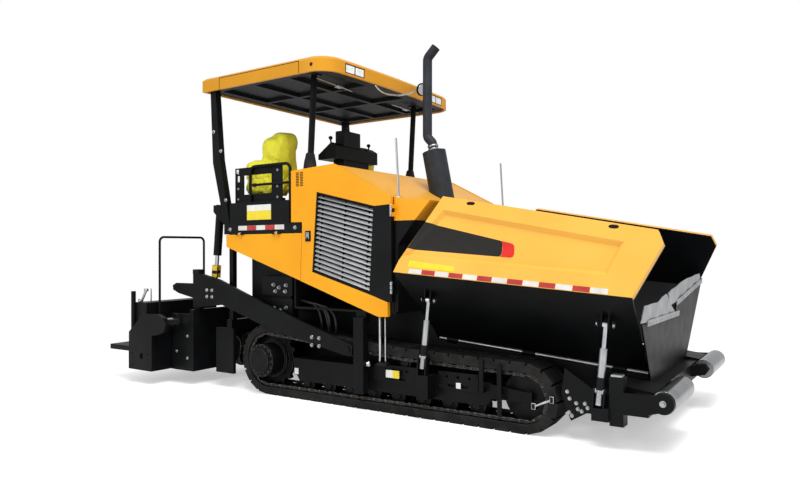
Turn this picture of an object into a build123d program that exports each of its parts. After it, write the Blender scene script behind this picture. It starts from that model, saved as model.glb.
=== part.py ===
"""Tracked asphalt paver: tractor, receiving hopper, crew platform with canopy, augers and floating screed.

Millimetres. +X is the direction of travel (hopper first), +Y the left-hand side, +Z up.
The origin is on the ground in the middle of the machine. Paired pieces are drawn on the
right-hand side (-Y) and mirrored in the XZ plane.
"""
import os
from math import acos, atan2, cos, degrees, hypot, pi, radians, sin

from build123d import *

# ---------------------------------------------------------------- driving dimensions
FIT = 0.3  # running fit of pins, rods and seated faces
GAP = 6  # air between panels that move past each other

# overall
FRONT_X = 3325  # front of the push rollers
REAR_X = -3325  # rear edge of the screed walkway
BODY_HALF = 1277  # outer face of the hood doors and platform

# crawler tracks
SHOE_WIDTH = 320
TRACK_OUTER = BODY_HALF - 87  # |y| of the shoes' outer ends
TRACK_INNER = TRACK_OUTER - SHOE_WIDTH
TRACK_MIDDLE = TRACK_OUTER - SHOE_WIDTH / 2
SHOE_PITCH = 154
PAD_DEPTH = 28
SHOE_GAP = 24  # open length between two pads at their tips
BELT_DEPTH = 85  # pad face to chain inner face
SPROCKET_X = -1000
SPROCKET_RADIUS = 390  # to the pad faces
IDLER_X = 2066
IDLER_RADIUS = 310
SAG_X, SAG_Z = 800, 650  # where the top run rests on its carrier roller
ROLLER_RADIUS = 80
ROLLER_COUNT = 8

# chassis
SIDE_THICK = 40
SIDE_INNER = TRACK_INNER - 105 - SIDE_THICK  # |y| of the chassis side plates
FLOOR_Z = 480  # top of the conveyor floor
PLATE = 20
DECK_Z = 1000  # top of the deck over the tracks
CHASSIS_REAR = -1380
COLUMN_X = (280, 400)  # tow point guides

# hopper wings: hinge line, fold line (widest edge) and cover
HINGE_Y = SIDE_INNER + SIDE_THICK / 2
HINGE_REAR = (979, 717)  # (x, z)
HINGE_FRONT = (3007, 549)
HINGE_PIN = 16
FOLD_REAR = (846, -BODY_HALF - 117, 1396)
FOLD_FRONT = (3051, -BODY_HALF - 133, 1230)
WING_PLATE = 14
COVER_THICK = 55

# hood
DOOR_THICK = 45
HOOD_REAR_X = -554
HOOD_PEAK = (28, 2490)
HOOD_FRONT = (743, 2122)
SHEET = 12

# platform and canopy
PLATFORM_Z = 1900
PLATFORM_DEPTH = 104
PLATFORM_REAR = -1600
ROOF_REAR, ROOF_FRONT = -1907, 25
ROOF_HALF = BODY_HALF + 53
ROOF_BOTTOM, ROOF_TOP = 3479, 3640

# screed
TOW_X, TOW_Z = 200, 600
ARM_THICK = 40
ARM_INNER = BODY_HALF - 42
SCREED_HALF = ARM_INNER + ARM_THICK + 55
EXTENSION_OUT = SCREED_HALF + 270  # |y| of the extension's end at rest
GUIDE_X, GUIDE_Z, GUIDE_RADIUS = -2400, 750, 52
SCREED_BOTTOM = 170

# screed lift cylinders: top pin and rod eye (x, z)
LIFT_TOP = (-1840, 2110)
LIFT_LOW = (-1930, 1190)
LIFT_Y = BODY_HALF - 157
LIFT_RADIUS = 48

os.makedirs("parts", exist_ok=True)


# ---------------------------------------------------------------- small drawing helpers
def save(name, piece):
    """Label one finished piece and write its file."""
    piece.label = name
    export_step(piece, f"parts/{name}.step")


def save_pair(name, right):
    """Write a right-hand piece and its mirror image as two files."""
    save(name + "_right", right)
    save(name + "_left", mirror(right, about=Plane.XZ))


def save_both(name, right):
    """Write a right-hand piece and its mirror image as the solids of one file."""
    with BuildPart() as both:
        add(right)
        mirror(about=Plane.XZ)
    save(name, both.part)


def prism(outline, inner, outer, mode=Mode.ADD):
    """A side-view outline of (x, z) points, extruded from |y| = inner to |y| = outer on the right."""
    with BuildSketch(Plane.XZ.offset(inner)) as side:
        with BuildLine():
            Polyline(*outline, close=True)
        make_face()
    extrude(side.sketch, amount=outer - inner, mode=mode)


def block(x0, x1, y0, y1, z0, z1, mode=Mode.ADD):
    """A rectangular bar between two corners."""
    with Locations(((x0 + x1) / 2, (y0 + y1) / 2, (z0 + z1) / 2)):
        Box(x1 - x0, y1 - y0, z1 - z0, mode=mode)


def drum(x, z, radius, y0, y1, mode=Mode.ADD):
    """A cylinder across the machine, from y0 to y1."""
    with Locations(Location((x, (y0 + y1) / 2, z), (90, 0, 0))):
        Cylinder(radius, abs(y1 - y0), mode=mode)


def bar(start, end, radius, mode=Mode.ADD):
    """A round bar between two points."""
    axis = Vector(*end) - Vector(*start)
    with BuildSketch(Plane(origin=start, z_dir=axis)) as section:
        Circle(radius)
    extrude(section.sketch, amount=axis.length, mode=mode)


def panel(corners, thickness, mode=Mode.ADD):
    """A flat plate on the plane of its first three corners, thickened along their right-hand normal."""
    first, second, third = (Vector(*corner) for corner in corners[:3])
    frame = Plane(origin=first, x_dir=second - first, z_dir=(second - first).cross(third - first))
    flat = [frame.to_local_coords(Vector(*corner)) for corner in corners]
    with BuildSketch(frame) as face:
        with BuildLine():
            Polyline(*[(point.X, point.Y) for point in flat], close=True)
        make_face()
    extrude(face.sketch, amount=thickness, mode=mode)


# ---------------------------------------------------------------- crawler tracks
def wheel_reach(pad_radius):
    """Largest wheel that runs inside the straight chain links of the track."""
    return (pad_radius - BELT_DEPTH) * cos(SHOE_PITCH / pad_radius / 4) - 1


def track_path():
    """The loop of the pad faces: (kind, data, length) for the ground run, wheels and top runs."""
    idler = (IDLER_X, IDLER_RADIUS)
    sprocket = (SPROCKET_X, SPROCKET_RADIUS)

    def wrap_end(wheel, radius, rest):
        dx, dz = rest[0] - wheel[0], rest[1] - wheel[1]
        away = acos(radius / hypot(dx, dz))
        facing = atan2(dz, dx)
        return facing - away if rest[0] < wheel[0] else facing + away

    top = (SAG_X, SAG_Z)
    idler_leaves = wrap_end(idler, IDLER_RADIUS, top)
    sprocket_meets = wrap_end(sprocket, SPROCKET_RADIUS, top)

    def rim(wheel, radius, angle):
        return (wheel[0] + radius * cos(angle), wheel[1] + radius * sin(angle))

    a = rim(idler, IDLER_RADIUS, idler_leaves)
    b = rim(sprocket, SPROCKET_RADIUS, sprocket_meets)
    return [
        ("line", ((SPROCKET_X, 0), (IDLER_X, 0)), IDLER_X - SPROCKET_X),
        ("arc", (idler, IDLER_RADIUS, -pi / 2), IDLER_RADIUS * (idler_leaves + pi / 2)),
        ("line", (a, top), hypot(a[0] - top[0], a[1] - top[1])),
        ("line", (top, b), hypot(b[0] - top[0], b[1] - top[1])),
        ("arc", (sprocket, SPROCKET_RADIUS, sprocket_meets),
         SPROCKET_RADIUS * (1.5 * pi - sprocket_meets)),
    ]


def on_track(path, distance, inset):
    """The (x, z) of a point at a distance round the loop, inset from the pad faces."""
    distance %= sum(length for _, _, length in path)
    for kind, data, length in path:
        if distance <= length:
            break
        distance -= length
    if kind == "line":
        (x0, z0), (x1, z1) = data
        along = ((x1 - x0) / length, (z1 - z0) / length)
        return (x0 + along[0] * distance - along[1] * inset,
                z0 + along[1] * distance + along[0] * inset)
    (cx, cz), radius, start = data
    angle = start + distance / radius
    return (cx + (radius - inset) * cos(angle), cz + (radius - inset) * sin(angle))


def track():
    """One closed loop of rubber-padded shoes with its chain."""
    path = track_path()
    loop = sum(length for _, _, length in path)
    shoes = round(loop / SHOE_PITCH)
    pitch = loop / shoes
    outer, inner = [], []
    for shoe in range(shoes):
        start = shoe * pitch
        for along, inset in (
            (SHOE_GAP / 3, PAD_DEPTH),
            (SHOE_GAP / 2, 0),
            (pitch - SHOE_GAP / 2, 0),
            (pitch - SHOE_GAP / 3, PAD_DEPTH),
        ):
            outer.append(on_track(path, start + along, inset))
        inner.append(on_track(path, start, BELT_DEPTH))
        inner.append(on_track(path, start + pitch / 2, BELT_DEPTH))
    with BuildPart() as belt:
        prism(outer, TRACK_INNER, TRACK_INNER + SHOE_WIDTH)
        prism(inner, TRACK_INNER, TRACK_INNER + SHOE_WIDTH, Mode.SUBTRACT)
    return belt.part


# ---------------------------------------------------------------- wing hinge line and its rams
def hinge_height(x):
    """Height of the wing hinge line at a place along the machine."""
    (x0, z0), (x1, z1) = HINGE_REAR, HINGE_FRONT
    return z0 + (z1 - z0) * (x - x0) / (x1 - x0)


HINGE_SLOPE = degrees(atan2(HINGE_REAR[1] - HINGE_FRONT[1], HINGE_FRONT[0] - HINGE_REAR[0]))
HINGE_LENGTH = hypot(HINGE_FRONT[0] - HINGE_REAR[0], HINGE_REAR[1] - HINGE_FRONT[1])
KNUCKLES = (150, 960, 1800)  # along the hinge line from its rear end
KNUCKLE_LENGTH = 120
KNUCKLE_RADIUS = 30
GROOVE = (HINGE_PIN + FIT) / cos(radians(HINGE_SLOPE))  # chassis edge below the hinge axis
hinge_frame = Plane(
    origin=(HINGE_REAR[0], -HINGE_Y, HINGE_REAR[1]),
    x_dir=(HINGE_FRONT[0] - HINGE_REAR[0], 0, HINGE_FRONT[1] - HINGE_REAR[1]),
    z_dir=(0, -1, 0),
)


# lift cylinders of the wings, in the plane across the hinge line: out from it, up from it
RAM_REAR, RAM_FRONT = 130, 1790  # places along the hinge line
RAM_BASE = (BODY_HALF - 12 - HINGE_Y, -106)
RAM_EYE = (RAM_BASE[0] - 25, 430)
RAM_FOOT, RAM_HEAD = -110, 345  # ends of the barrel, along its axis from the base pin
RAM_RADIUS, RAM_ROD, RAM_PIN = 30, 18, 14
RAM_ROD_START = 50
STUB_TIP = 25  # inner ends of the two stubs that carry the barrel, either side of the rod
BOSS = 34  # outer ends of the barrel's bosses round the stubs
EAR_INNER, EAR_OUTER = BOSS + 2, BOSS + 16  # ears along the hinge line, either side of a pin


def across(along):
    """Plane across the hinge line: local x outward, local y up."""
    return Plane(origin=hinge_frame.from_local_coords((along, 0, 0)), x_dir=(0, -1, 0), z_dir=-hinge_frame.x_dir)


def ram_point(along, place):
    """A point of a ram's plane in the machine."""
    return across(along).from_local_coords((place[0], place[1], 0))


def on_ram(along, distance):
    """A point on a ram's axis, measured from its base pin."""
    reach = hypot(RAM_EYE[0] - RAM_BASE[0], RAM_EYE[1] - RAM_BASE[1])
    share = distance / reach
    return ram_point(along, (RAM_BASE[0] + (RAM_EYE[0] - RAM_BASE[0]) * share,
                             RAM_BASE[1] + (RAM_EYE[1] - RAM_BASE[1]) * share))


def ear(along, outline, inner, outer):
    """Two plates across the hinge line, either side of a place along it."""
    for start in (along + inner, along - outer):
        with BuildSketch(across(start)) as plate:
            with BuildLine():
                Polyline(*outline, close=True)
            make_face()
        extrude(plate.sketch, amount=inner - outer)


def ram_bracket(along, floor):
    """Base ears of a wing ram with their stubs, standing on a bracket whose top is at a given height."""
    out, up = RAM_BASE
    sunk = floor - ram_point(along, RAM_BASE).Z + up - 12
    ear(along, [(out - 32, sunk), (out + 32, sunk), (out + 32, up + 8), (out + 14, up + 26), (out - 14, up + 26),
                (out - 32, up + 8)], EAR_INNER, EAR_OUTER)
    for side in (-1, 1):
        bar(ram_point(along + side * STUB_TIP, RAM_BASE), ram_point(along + side * (EAR_OUTER + 8), RAM_BASE), RAM_PIN)


# ---------------------------------------------------------------- undercarriage
FRAME_INNER, FRAME_OUTER = TRACK_INNER + 45, TRACK_OUTER - 45  # |y| of the track frame's side plates
FRAME_WALL = 15
FRAME_REAR = -640
FRAME_NOSE = IDLER_X - IDLER_RADIUS - 16  # just behind the idler
ROLLER_Z = BELT_DEPTH + ROLLER_RADIUS + FIT
CARRIER_RADIUS = 60
CARRIER_Z = SAG_Z - BELT_DEPTH - CARRIER_RADIUS - FIT
RAM_SHOULDER = TRACK_OUTER + 5  # |y| where the ram brackets begin, outside the tracks
GUARD_Z = 190  # lower edge of the roller guards
COVER_PLATES = ((445, 990), (1190, 1615))  # x of the holed plates on the frame's outer side
COVER_PLATE_Z = (300, 465)
STONE_GUARDS = ((1670, 315, 624), (1846, 135, 585))  # x, low and high end of the posts beside the track


def track_frame():
    """Box beam inside the track with roller guards, idler fork, chassis stubs and the rear ram bracket."""
    with BuildPart() as frame:
        prism([(FRAME_REAR, 250), (FRAME_NOSE, 250), (FRAME_NOSE, 400), (SAG_X, 430), (FRAME_REAR, 430)],
              FRAME_INNER, FRAME_OUTER)
        guard = [(FRAME_REAR + 40, 250), (FRAME_REAR + 80, GUARD_Z), (FRAME_NOSE - 60, GUARD_Z), (FRAME_NOSE, 250)]
        prism(guard, FRAME_INNER, FRAME_INNER + FRAME_WALL)
        prism(guard, FRAME_OUTER - FRAME_WALL, FRAME_OUTER)
        fork = [(FRAME_NOSE - 10, 260), (IDLER_X + 60, 270), (IDLER_X + 60, 350), (FRAME_NOSE - 10, 390)]
        prism(fork, FRAME_INNER, FRAME_INNER + 30)
        prism(fork, FRAME_OUTER - 30, FRAME_OUTER)
        for x in (-450, 480, 1420):
            block(x - 90, x + 90, -FRAME_INNER, -(SIDE_INNER + SIDE_THICK), 280, 400)
        for rear, front in COVER_PLATES:
            block(rear, front, -FRAME_OUTER - 12, -FRAME_OUTER + 1, *COVER_PLATE_Z)
            middle, low, high = (rear + front) / 2, COVER_PLATE_Z[0] + 40, COVER_PLATE_Z[1] - 45
            for x in (middle - 120, middle, middle + 120):
                drum(x, high, 14, -FRAME_OUTER - 13, -FRAME_OUTER + FRAME_WALL, Mode.SUBTRACT)
            for x in (middle - 70, middle + 70):
                block(x - 38, x + 38, -FRAME_OUTER - 13, -FRAME_OUTER + FRAME_WALL, low - 14, low + 14, Mode.SUBTRACT)
        for x, low, high in STONE_GUARDS:
            block(x - 20, x + 20, -TRACK_OUTER - 24, -TRACK_OUTER - GAP, low, high)
            block(x - 20, x + 20, -TRACK_OUTER - 24, -FRAME_OUTER + 1, 320, 370)
        base = ram_point(RAM_REAR, RAM_BASE)
        block(base.X - 62, base.X + 62, -RAM_SHOULDER - 105, -FRAME_OUTER + 1, 210, 430)
        ram_bracket(RAM_REAR, 430)
    return frame.part


def running_gear():
    """Bottom rollers, the carrier roller and the idler wheel, each on its own shaft."""
    inside = FRAME_INNER + FRAME_WALL
    outside = FRAME_OUTER - FRAME_WALL
    spacing = (FRAME_NOSE - FRAME_REAR - 340) / (ROLLER_COUNT - 1)
    with BuildPart() as gear:
        for i in range(ROLLER_COUNT):
            x = FRAME_REAR + 180 + i * spacing
            drum(x, ROLLER_Z, ROLLER_RADIUS, -outside + 25, -inside - 25)
            drum(x, ROLLER_Z, 28, -outside, -inside)
        drum(SAG_X, CARRIER_Z, CARRIER_RADIUS, -TRACK_MIDDLE - 85, -TRACK_MIDDLE + 85)
        for y in (-TRACK_MIDDLE - 93, -TRACK_MIDDLE + 93):
            block(SAG_X - 30, SAG_X + 30, y - 7, y + 7, 430, CARRIER_Z + 30)
        drum(SAG_X, CARRIER_Z, 22, -TRACK_MIDDLE - 88, -TRACK_MIDDLE + 88)
        drum(IDLER_X, IDLER_RADIUS, wheel_reach(IDLER_RADIUS), -TRACK_MIDDLE - 55, -TRACK_MIDDLE + 55)
        drum(IDLER_X, IDLER_RADIUS, 45, -TRACK_MIDDLE - 85, -TRACK_MIDDLE + 85)
    return gear.part


DRIVE_RADIUS = 180
DRIVE_OUTER = BODY_HALF + 13  # |y| of the bolted face
SPROCKET_TEETH = 16
SPROCKET_WIDTH = 60


def final_drive():
    """Toothed sprocket on the bolted final-drive drum."""
    reach = wheel_reach(SPROCKET_RADIUS)
    outer = TRACK_MIDDLE + SPROCKET_WIDTH / 2
    with BuildPart() as drive:
        drum(SPROCKET_X, SPROCKET_RADIUS, reach - 34, -outer, -outer + SPROCKET_WIDTH)
        with BuildSketch(Plane.XZ.offset(outer - SPROCKET_WIDTH)) as teeth:
            with Locations((SPROCKET_X, SPROCKET_RADIUS)):
                with PolarLocations(reach - 36, SPROCKET_TEETH):
                    Trapezoid(56, 66, 78, rotation=-90)
        extrude(teeth.sketch, amount=SPROCKET_WIDTH)
        drum(SPROCKET_X, SPROCKET_RADIUS, DRIVE_RADIUS + 30, -outer - 40, -outer)
        drum(SPROCKET_X, SPROCKET_RADIUS, DRIVE_RADIUS, -DRIVE_OUTER, -(SIDE_INNER + SIDE_THICK))
        drum(SPROCKET_X, SPROCKET_RADIUS, DRIVE_RADIUS - 45, -DRIVE_OUTER - 30, -DRIVE_OUTER)
        with BuildSketch(Plane.XZ.offset(DRIVE_OUTER)) as bolts:
            with Locations((SPROCKET_X, SPROCKET_RADIUS)):
                with PolarLocations(DRIVE_RADIUS - 20, 16):
                    RegularPolygon(12, 6)
        extrude(bolts.sketch, amount=10)
    return drive.part


# ---------------------------------------------------------------- chassis
NOSE_X = 3010  # front face of the side plates, where the push beam is bolted on
SIDE_LINE = BODY_HALF - DOOR_THICK - GAP  # |y| of what stands inside the doors
TANK_HALF = BODY_HALF - 227  # |y| of the tanks' sides, set back behind the valve blocks


def chassis_frame():
    """Side plates, conveyor tunnel, deck over the tracks and cross members."""
    outer = SIDE_INNER + SIDE_THICK
    with BuildPart() as frame:
        prism([
            (CHASSIS_REAR, 250), (2450, 250), (2900, 330), (NOSE_X, 330),
            (NOSE_X, hinge_height(NOSE_X) - GROOVE),
            (950, hinge_height(950) - GROOVE),
            (760, DECK_Z), (CHASSIS_REAR, DECK_Z),
        ], SIDE_INNER, outer)
        for along in KNUCKLES:
            with BuildSketch(hinge_frame.offset(-SIDE_THICK)) as notch:
                with Locations((along, 0)):
                    Rectangle(KNUCKLE_LENGTH + 2 * GAP, 2 * (KNUCKLE_RADIUS + GAP))
            extrude(notch.sketch, amount=2 * SIDE_THICK, mode=Mode.SUBTRACT)
        # upright guides of the tow points, outside the tracks
        block(COLUMN_X[0], COLUMN_X[1], -BODY_HALF, -TRACK_OUTER - 5, 170, 930)
        block(COLUMN_X[0], COLUMN_X[1], -SIDE_LINE, -TRACK_OUTER + 40, 880, DECK_Z - PLATE)
        mirror(about=Plane.XZ)
        block(CHASSIS_REAR - 40, NOSE_X - 10, -SIDE_INNER, SIDE_INNER, FLOOR_Z - PLATE, FLOOR_Z)
        block(CHASSIS_REAR, HOOD_REAR_X, -TANK_HALF, TANK_HALF, DECK_Z - PLATE, DECK_Z)
        block(HOOD_REAR_X, 760, -SIDE_LINE, SIDE_LINE, DECK_Z - PLATE, DECK_Z)
        for x in (-1300, -450, 480, 1420, 2350):
            block(x - 60, x + 60, -SIDE_INNER, SIDE_INNER, 290, FLOOR_Z - PLATE)
    return frame.part


CONVEYOR_GAP = 60  # strip between the two conveyors
BAR_PITCH = 170
BAR_WIDTH = 40
BAR_HEIGHT = 28


def conveyor():
    """Two slat conveyors: drag bars carried by pairs of chains along the floor."""
    rear, front = CHASSIS_REAR, NOSE_X - 50
    centre = (SIDE_INNER + CONVEYOR_GAP / 2) / 2
    width = SIDE_INNER - CONVEYOR_GAP / 2 - 30
    count = int((front - rear) / BAR_PITCH)
    with BuildPart() as slats:
        for side in (-1, 1):
            for edge in (-0.38, 0.38):
                y = side * centre + edge * width
                block(rear, front, y - 20, y + 20, FLOOR_Z, FLOOR_Z + 18)
            for i in range(count):
                x = rear + (i + 0.5) * BAR_PITCH
                block(x, x + BAR_WIDTH, side * centre - width / 2, side * centre + width / 2,
                      FLOOR_Z, FLOOR_Z + BAR_HEIGHT)
    return slats.part


# ---------------------------------------------------------------- push beam
ROLLER_AXIS = (3235, 419)  # (x, z)
PUSH_RADIUS = FRONT_X - ROLLER_AXIS[0]
PUSH_INNER, PUSH_OUTER = 500, BODY_HALF - 37
NOSE_FRONT = NOSE_X + 120  # front face of the crossbeam
BEAM_TOP = 460
BOX_X = (NOSE_X - 180, NOSE_X - 70)  # the upright box that hides the foot of the front ram
SCRAPER = ((2400, 385), (2480, 170), (2700, 300), (2700, 430), (2430, 605))  # bolted plate before the track


def push_beam():
    """Deck plate, crossbeam, front ram brackets and the four roller brackets, hung on the chassis nose."""
    x, z = ROLLER_AXIS
    side = BODY_HALF - 5
    cheek = [(BOX_X[0], 470), (NOSE_FRONT - 50, 470), (x + 20, z + 60), (x + 60, z), (x + 20, z - 60),
             (NOSE_FRONT - 70, 300), (BOX_X[0], 300)]
    inner_cheek = [(NOSE_X, 455), (NOSE_FRONT, 455), (x + 20, z + 50), (x + 50, z), (x + 20, z - 50), (NOSE_X, 310)]
    base = ram_point(RAM_FRONT, RAM_BASE)
    with BuildPart() as beam:
        block(NOSE_X, NOSE_FRONT, -side, side, 300, BEAM_TOP)
        prism(cheek, PUSH_OUTER + 8, side)
        drum(x, z, PUSH_RADIUS - 8, -side, -(PUSH_OUTER + 8))
        prism(inner_cheek, PUSH_INNER - 33, PUSH_INNER - 8)
        block(*BOX_X, -side, -side + 120, 200, 585)
        block(BOX_X[1], NOSE_X, -side, -side + 55, 300, BEAM_TOP)
        prism([(NOSE_X + 5, BEAM_TOP), (NOSE_FRONT + 20, BEAM_TOP), (NOSE_FRONT + 20, BEAM_TOP + 14), (BOX_X[0], 520),
               (BOX_X[0], 506)], SIDE_INNER + SIDE_THICK + GAP, side - 121)
        drum(x, z, 26, -side, -(PUSH_INNER - 33))
        block(base.X - 62, BOX_X[0], -RAM_SHOULDER - 105, -RAM_SHOULDER + 30, 230, 330)
        ram_bracket(RAM_FRONT, 330)
        block(2560, BOX_X[0] - 70, -TRACK_OUTER + 20, -TRACK_INNER - 30, 250, 430)
        block(BOX_X[0] - 70, BOX_X[0], -TRACK_OUTER + 20, -TRACK_OUTER + 38, 250, 430)
        prism(SCRAPER, TRACK_OUTER - 38, TRACK_OUTER - 20)
        mirror(about=Plane.XZ)
    return beam.part


def push_roller():
    """Chromed push roller turning on a fixed shaft."""
    x, z = ROLLER_AXIS
    with BuildPart() as roller:
        drum(x, z, PUSH_RADIUS, -PUSH_OUTER, -PUSH_INNER)
        drum(x, z, 26 + FIT, -PUSH_OUTER, -PUSH_INNER, Mode.SUBTRACT)
    return roller.part


# ---------------------------------------------------------------- hopper
WALL_X = 790  # hopper side of the rear wall
WALL_KNEE = 1650
COWL_FRONT = (1150, 2075)
COWL_BOTTOM = 1890
WALL_TOP_X = WALL_X + (COWL_BOTTOM - WALL_KNEE) * 0.81


def hopper_rear_wall():
    """Plate between engine bay and hopper, leaning forward above the conveyor mouth."""
    with BuildPart() as wall:
        block(WALL_X - 15, WALL_X, -SIDE_LINE, SIDE_LINE, DECK_Z, WALL_KNEE)
        block(WALL_X - 15, WALL_X, -SIDE_INNER, SIDE_INNER, 760, DECK_Z)
        prism([(WALL_X, WALL_KNEE), (WALL_TOP_X, COWL_BOTTOM), (WALL_TOP_X - 19, COWL_BOTTOM),
               (WALL_X - 15, WALL_KNEE)], -SIDE_LINE, SIDE_LINE)
        cheek = [(HOOD_FRONT[0] + GAP, DECK_Z), (WALL_X - 15, DECK_Z), (WALL_X - 15, WALL_KNEE),
                 (WALL_TOP_X - 19, COWL_BOTTOM), (HOOD_FRONT[0] + GAP, COWL_BOTTOM)]
        prism(cheek, SIDE_LINE - SHEET, SIDE_LINE)
        door_hinge_fixed(LOWER_HINGE_Z)
        mirror(about=Plane.XZ)
    return wall.part


def cowl():
    """Sheet cowl over the hopper end of the hood."""
    x0, z0 = HOOD_FRONT[0] + GAP, HOOD_FRONT[1]
    lean = COWL_FRONT[0] - WALL_TOP_X
    shell = [(x0, COWL_BOTTOM), (WALL_TOP_X, COWL_BOTTOM), (COWL_FRONT[0] - 5, COWL_FRONT[1] - 15),
             COWL_FRONT, (x0, z0)]
    hollow = [(x0 - 1, COWL_BOTTOM - 1), (WALL_TOP_X - 20, COWL_BOTTOM - 1),
              (COWL_FRONT[0] - 0.2 * lean, COWL_FRONT[1] - SHEET - 8), (x0 - 1, z0 - SHEET)]
    with BuildPart() as cover:
        prism(shell, -SIDE_LINE, SIDE_LINE)
        prism(hollow, -SIDE_LINE + SHEET, SIDE_LINE - SHEET, Mode.SUBTRACT)
        door_hinge_fixed(UPPER_HINGE_Z)
        mirror(about=Plane.XZ)
    return cover.part


APRON_ALONG = HINGE_LENGTH + 14  # the plate stands square to the hinge lines, clear of the wings' front edges
APRON_THICK = 12
APRON_STEP_Y = 60  # where the low right-hand part meets the high left-hand part
APRON_FOOT = BEAM_TOP + APRON_THICK * sin(radians(HINGE_SLOPE)) + FIT
APRON_OUTLINE = (  # y and z
    (SIDE_INNER + SIDE_THICK, APRON_FOOT), (SIDE_INNER + SIDE_THICK + 4, 520), (BODY_HALF + 13, 1240),
    (APRON_STEP_Y, 1085), (APRON_STEP_Y, 985), (-BODY_HALF + 87, 1005),
    (-SIDE_INNER - SIDE_THICK - 4, 520), (-SIDE_INNER - SIDE_THICK, APRON_FOOT),
)
FOLD_COUNT = 7
NEAR_HOLE_COUNT, FAR_HOLE_COUNT = 11, 7
FLAPS = (  # y and z of the strip's ends, outline of the folded sheet, holes in the strip
    (((237 - BODY_HALF, 1003), (180, 990)),
     ((72 - BODY_HALF, 1016), (127 - BODY_HALF, 1152), (577 - BODY_HALF, 1150), (-390, 1203), (50, 996)),
     NEAR_HOLE_COUNT),
    (((50, 1095), (BODY_HALF + 13, 1254)),
     ((-180, 1082), (-340, 1204), (384, 1298), (BODY_HALF - 127, 1335), (BODY_HALF + 13, 1250)),
     FAR_HOLE_COUNT),
)
STRIP_THICK, STRIP_HALF = 10, 25
STRIP_HOLE = 11
FOLD_DEPTH, SHEET_THICK = 8, 6
apron_foot = hinge_frame.from_local_coords((APRON_ALONG, 0, 0))
apron_frame = Plane(
    origin=(apron_foot.X, 0, apron_foot.Z),
    x_dir=(0, 1, 0),
    z_dir=hinge_frame.x_dir,
)


def on_apron(y, z):
    """A point of the front plate's plane, given by its y and its height."""
    return (y, (z - apron_frame.origin.Z) / apron_frame.y_dir.Z)


def apron_sheet(outline, start, amount, mode=Mode.ADD):
    """A flat sheet parallel to the front plate: (y, z) outline, distance in front of its rear face, thickness."""
    with BuildSketch(apron_frame.offset(start)) as face:
        with BuildLine():
            Polyline(*[on_apron(y, z) for y, z in outline], close=True)
        make_face()
    extrude(face.sketch, amount=amount, mode=mode)


def hopper_apron():
    """Front plate of the hopper, filling the V between the wings, higher on the left."""
    with BuildPart() as apron:
        apron_sheet(APRON_OUTLINE, 0, APRON_THICK)
    return apron.part


def flap_sheet(strip, outline):
    """One sheet folded to and fro along its strip and trimmed to its outline."""
    (x0, z0), (x1, z1) = (on_apron(*end) for end in strip)
    with BuildPart() as sheet:
        run = hypot(x1 - x0, z1 - z0)
        step = run / FOLD_COUNT
        crest = [(i * step, i % 2 * FOLD_DEPTH - 2) for i in range(-FOLD_COUNT, 2 * FOLD_COUNT + 1)]
        back = [(place, depth + SHEET_THICK) for place, depth in reversed(crest)]
        ends = [apron_frame.offset(APRON_THICK).from_local_coords((x, z, 0)) for x, z in ((x0, z0), (x1, z1))]
        along = (ends[1] - ends[0]).normalized()
        with BuildSketch(Plane(origin=ends[0], x_dir=along, z_dir=apron_frame.z_dir.cross(along))) as profile:
            with BuildLine():
                Polyline(*crest, *back, close=True)
            make_face()
        extrude(profile.sketch, amount=600, both=True)
        apron_sheet(outline, -100, 200, Mode.INTERSECT)
    return sheet.part


def hopper_flaps():
    """Perforated strips and folded flap sheets along the front plate's top edge."""
    with BuildPart() as flaps:
        for ((y0, z0), (y1, z1)), outline, holes in FLAPS:
            add(flap_sheet(((y0, z0), (y1, z1)), outline))
            apron_sheet([(y0, z0 - STRIP_HALF), (y1, z1 - STRIP_HALF), (y1, z1 + STRIP_HALF), (y0, z0 + STRIP_HALF)],
                        APRON_THICK, STRIP_THICK)
            shares = [(i + 0.5) / holes for i in range(holes)]
            with BuildSketch(apron_frame.offset(APRON_THICK - 1)) as perforation:
                with Locations(*[on_apron(y0 + (y1 - y0) * share, z0 + (z1 - z0) * share - 6) for share in shares]):
                    RegularPolygon(STRIP_HOLE, 8)
            extrude(perforation.sketch, amount=STRIP_THICK + 2, mode=Mode.SUBTRACT)
    return flaps.part


def wing_hinge():
    """Hinge pin lying on the chassis side plate."""
    with BuildPart() as pin:
        bar((HINGE_REAR[0], -HINGE_Y, HINGE_REAR[1]), (HINGE_FRONT[0], -HINGE_Y, HINGE_FRONT[1]), HINGE_PIN)
    return pin.part


fold_frame = Plane(
    origin=FOLD_REAR,
    x_dir=Vector(*FOLD_FRONT) - Vector(*FOLD_REAR),
    z_dir=(0.0258, -1.6375, 0.5006),
)
FOLD_LENGTH = (Vector(*FOLD_FRONT) - Vector(*FOLD_REAR)).length
# outer face of the cover in the fold frame: along the fold line, up the cover
COVER_OUTLINE = ((0, 0), (31, 111), (364, 774), (2330, 554), (2384, 444), (FOLD_LENGTH, 0))
COVER_POCKET = ((60, 160), (400, 640), (2090, 440), (1990, 160))
POCKET_DEPTH = 34


def wing_lower_corners(start):
    """Corners of the lower wall's outer face, beginning a little way out from the hinge axis."""
    rear = Vector(HINGE_REAR[0], -HINGE_Y, HINGE_REAR[1])
    front = Vector(HINGE_FRONT[0], -HINGE_Y, HINGE_FRONT[1])
    fold_rear, fold_front = Vector(*FOLD_REAR), Vector(*FOLD_FRONT)
    near_rear = rear + (fold_rear - rear).normalized() * start
    near_front = front + (fold_front - front).normalized() * start
    return near_rear, near_front, fold_front, fold_rear


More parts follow.
